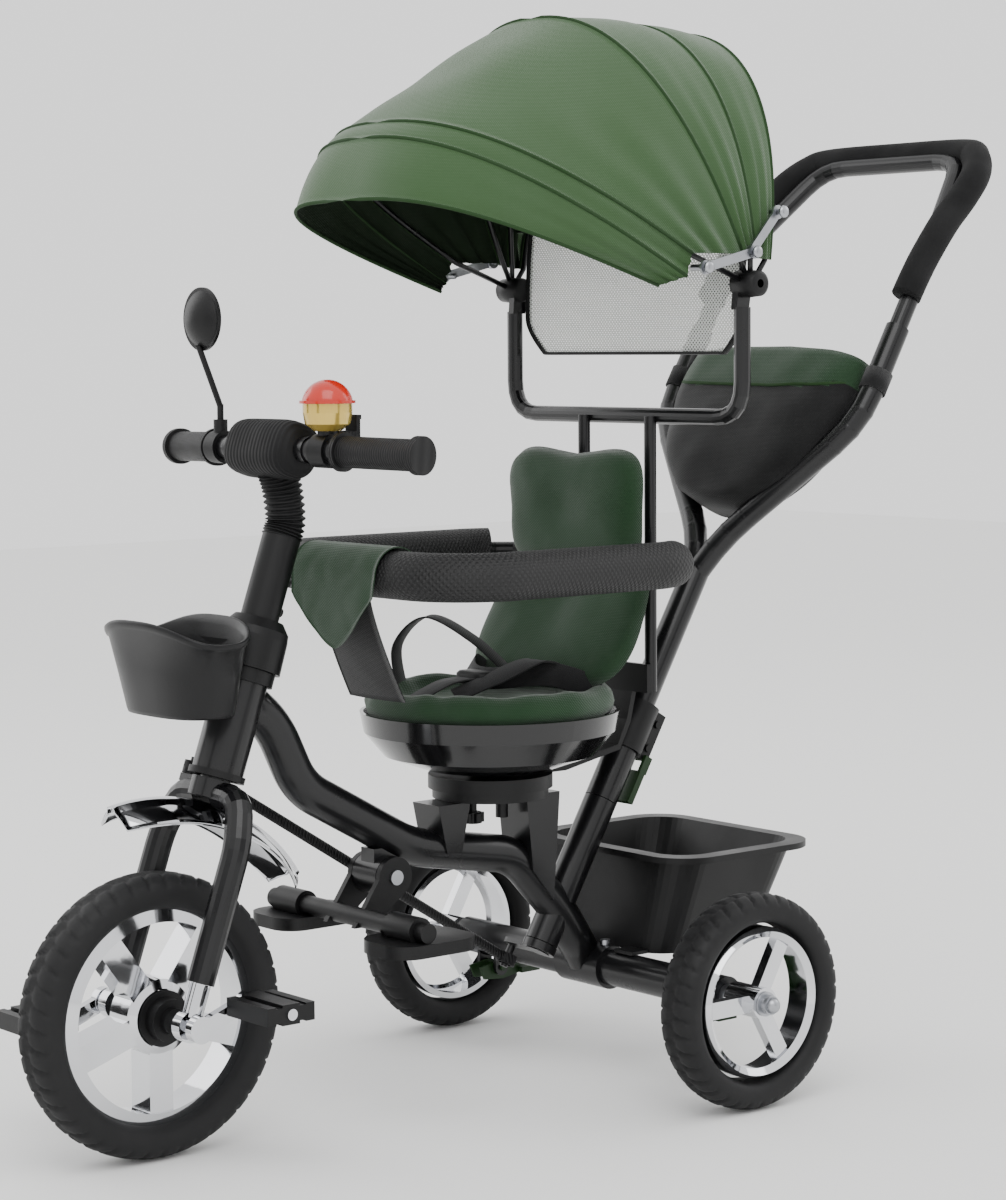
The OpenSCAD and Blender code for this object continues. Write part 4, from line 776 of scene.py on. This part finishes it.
matte_foam = surface("matte_foam", "09090a", "101011", 0.8, grain=1300, depth=0.0003)
side_line = [Vector((0.142, y / 1000, z / 1000)) for y, z in
             ((300, 760), (313, 780), (329, 802), (357, 835), (385, 862))]
corner = [Vector((0.137, 0.409, 0.885)), Vector((0.120, 0.428, 0.902)), Vector((0.096, 0.438, 0.909))]
right = side_line + corner
loop = curve(right + [Vector((0, 0.440, 0.910))] + [Vector((-p.x, p.y, p.z)) for p in reversed(right)], 9)
tube("handle_foam_sleeve", loop, 0.0152, matte_foam, "handle_loop", 32, ["handle_foam"],
     Vector((0, 0.62, -0.78)))

# Bag: green band and flap above a black pocket, its curved mouth piped in green.
key_points = [(-124, 606), (-126, 575), (-122, 545), (-108, 505), (-84, 470), (-50, 446), (0, 438)]
left_edge = curve([Vector((x, t, 0)) for x, t in key_points], 6)
outline = left_edge + [Vector((-p.x, p.y, 0)) for p in reversed(left_edge[:-1])]
levels = 26
bag = []
across = 64
for i in range(levels):
    f = i / (levels - 1)
    t = 438 + (606 - 438) * f
    wide = next((abs(a.x) + (abs(b.x) - abs(a.x)) * (t - a.y) / (b.y - a.y + 1e-9)
                 for a, b in zip(left_edge, left_edge[1:]) if a.y >= t >= b.y), 124)
    if i == 0:
        wide = 30
    deep_front = 8 + 26 * math.sin(math.pi * min(1.0, 0.18 + 0.62 * f)) ** 0.8
    deep_back = 8 + 34 * math.sin(math.pi * min(1.0, 0.15 + 0.6 * f)) ** 0.8
    for k in range(across):
        a = 2 * math.pi * k / across
        c, s = math.cos(a), math.sin(a)
        x = wide * math.copysign(abs(c) ** 0.6, c)
        d = (deep_back if s > 0 else deep_front) * math.copysign(abs(s) ** 0.8, s)
        p = push(x, d - 2, t + 5 * f * (1 - abs(c) ** 2))
        bag.append(p + Vector((0, 1, 0.3)) * ripple(p, 0.035, 0.0045, 9))
shell = solid("storage_bag_pocket", bag, skin(levels, across, False, True, True), black_cloth, "push_shaft",
              ["storage_bag"])
shell.data.materials.append(cloth)
for face in shell.data.polygons:
    level = sum(v // across for v in face.vertices) / len(face.vertices) / (levels - 1)
    spot = sum((v % across for v in face.vertices)) / len(face.vertices)
    turn = 2 * math.pi * spot / across
    if level > 0.72 + 0.10 * abs(math.cos(turn)) ** 2:
        face.material_index = 1
mouth = []
for k in range(97):
    a = 2 * math.pi * k / 96
    c, s = math.cos(a), math.sin(a)
    f = 0.72 + 0.10 * abs(c) ** 2
    t = 438 + 168 * f
    wide = 123
    d = (8 + 34 * math.sin(math.pi * min(1.0, 0.15 + 0.6 * f)) ** 0.8 if s > 0
         else 8 + 26 * math.sin(math.pi * min(1.0, 0.18 + 0.62 * f)) ** 0.8)
    p = push(wide * math.copysign(abs(c) ** 0.6, c), (d + 0.6) * math.copysign(abs(s) ** 0.8, s) - 2,
             t + 5 * f * (1 - abs(c) ** 2))
    mouth.append(p + Vector((0, 1, 0.3)) * ripple(p, 0.035, 0.0045, 9))
tube("bag_mouth_piping", mouth[:-1], 0.0018, piping, "push_shaft", 10, side=Vector((0, 0, 1)), closed=True)
for side in (1, -1):
    loop_ = []
    for k in range(32):
        a = 2 * math.pi * k / 32
        loop_.append(push(side * 142 + 14.2 * math.cos(a), 14.2 * math.sin(a), 586))
    band = []
    for p in loop_:
        for a, b in ((-11, 0), (11, 0), (11, 1.4), (-11, 1.4)):
            centre = push(side * 142, 0, 586)
            out = (p - centre).normalized()
            up = (push(0, 0, 1) - push(0, 0, 0)).normalized()
            band.append(p + up * a / 1000 + out * (b - 1.6) / 1000)
    faces = skin(32, 4, True, True)
    solid("bag_strap_" + ("left" if side == 1 else "right"), band, faces, webbing, "push_shaft")

# ---- Floor, light and camera --------------------------------------------
# Pale seamless floor, broad soft lights and dark cards that the bright parts reflect.

bpy.ops.mesh.primitive_plane_add(size=1, location=(0, 0, -0.0005))
floor = bpy.context.object
floor.name = "floor"
floor.scale = (14, 14, 1)
bpy.context.view_layer.update()
floor_paper = surface("white_floor", "f4f4f3", "f8f8f7", 0.9, grain=50, depth=0.00001, patch=1)
floor.data.materials.append(floor_paper)
card_black = surface("black_card", "0a0a0a", "0d0d0d", 0.9, grain=50, depth=0.00001, patch=1)
for i, (x, y, z, w, h, turn) in enumerate(((3.2, 0.6, 0.8, 0.5, 2.4, 90), (0.6, -3.4, 0.7, 0.5, 2.2, 0),
                                           (-2.6, -2.6, 0.8, 0.7, 2.4, -45))):
    upright = (math.radians(90), 0, math.radians(turn))
    bpy.ops.mesh.primitive_plane_add(size=1, location=(x, y, z), rotation=upright)
    card = bpy.context.object
    card.name = "card_%d" % i
    card.scale = (w, h, 1)
    card.data.materials.append(card_black)
    card.visible_camera = False
    card.visible_shadow = False

world = bpy.data.worlds.new("studio")
bpy.context.scene.world = world
world.use_nodes = True
world.node_tree.nodes["Background"].inputs[0].default_value = (1, 1, 1, 1)
world.node_tree.nodes["Background"].inputs[1].default_value = 1.4


def lamp(name, place, aim, power, wide, high):
    """Area light aimed at a point."""
    light = bpy.data.lights.new(name, "AREA")
    light.shape = "RECTANGLE"
    light.size = wide
    light.size_y = high
    light.energy = power
    thing = bpy.data.objects.new(name, light)
    thing.location = place
    thing.rotation_euler = (Vector(aim) - Vector(place)).to_track_quat("-Z", "Y").to_euler()
    bpy.context.scene.collection.objects.link(thing)


lamp("key_light", (1.6, -1.4, 3.0), (0, 0, 0.5), 42, 2.2, 2.2)
lamp("side_light", (-2.6, -1.2, 1.6), (0, 0, 0.5), 16, 1.6, 2.0)
lamp("back_light", (0.6, 2.8, 2.2), (0, 0, 0.6), 18, 2.4, 1.4)

lens = bpy.data.cameras.new("camera")
lens.sensor_width = 36
lens.lens = 88.46
lens.shift_x = -0.0043
lens.shift_y = -0.0099
lens.clip_end = 60
lens.dof.use_dof = False
eye = bpy.data.objects.new("camera", lens)
azimuth, elevation, roll = math.radians(50.5), math.radians(4.74), math.radians(-0.4)
eye.location = (2.18096, -1.90087, 0.71533)
bpy.context.scene.collection.objects.link(eye)
forward = Vector((-math.sin(azimuth) * math.cos(elevation), math.cos(azimuth) * math.cos(elevation),
                  -math.sin(elevation)))
turned = forward.to_track_quat("-Z", "Y").to_matrix() @ Matrix.Rotation(roll, 3, "Z")
eye.rotation_euler = turned.to_euler()
bpy.context.scene.camera = eye
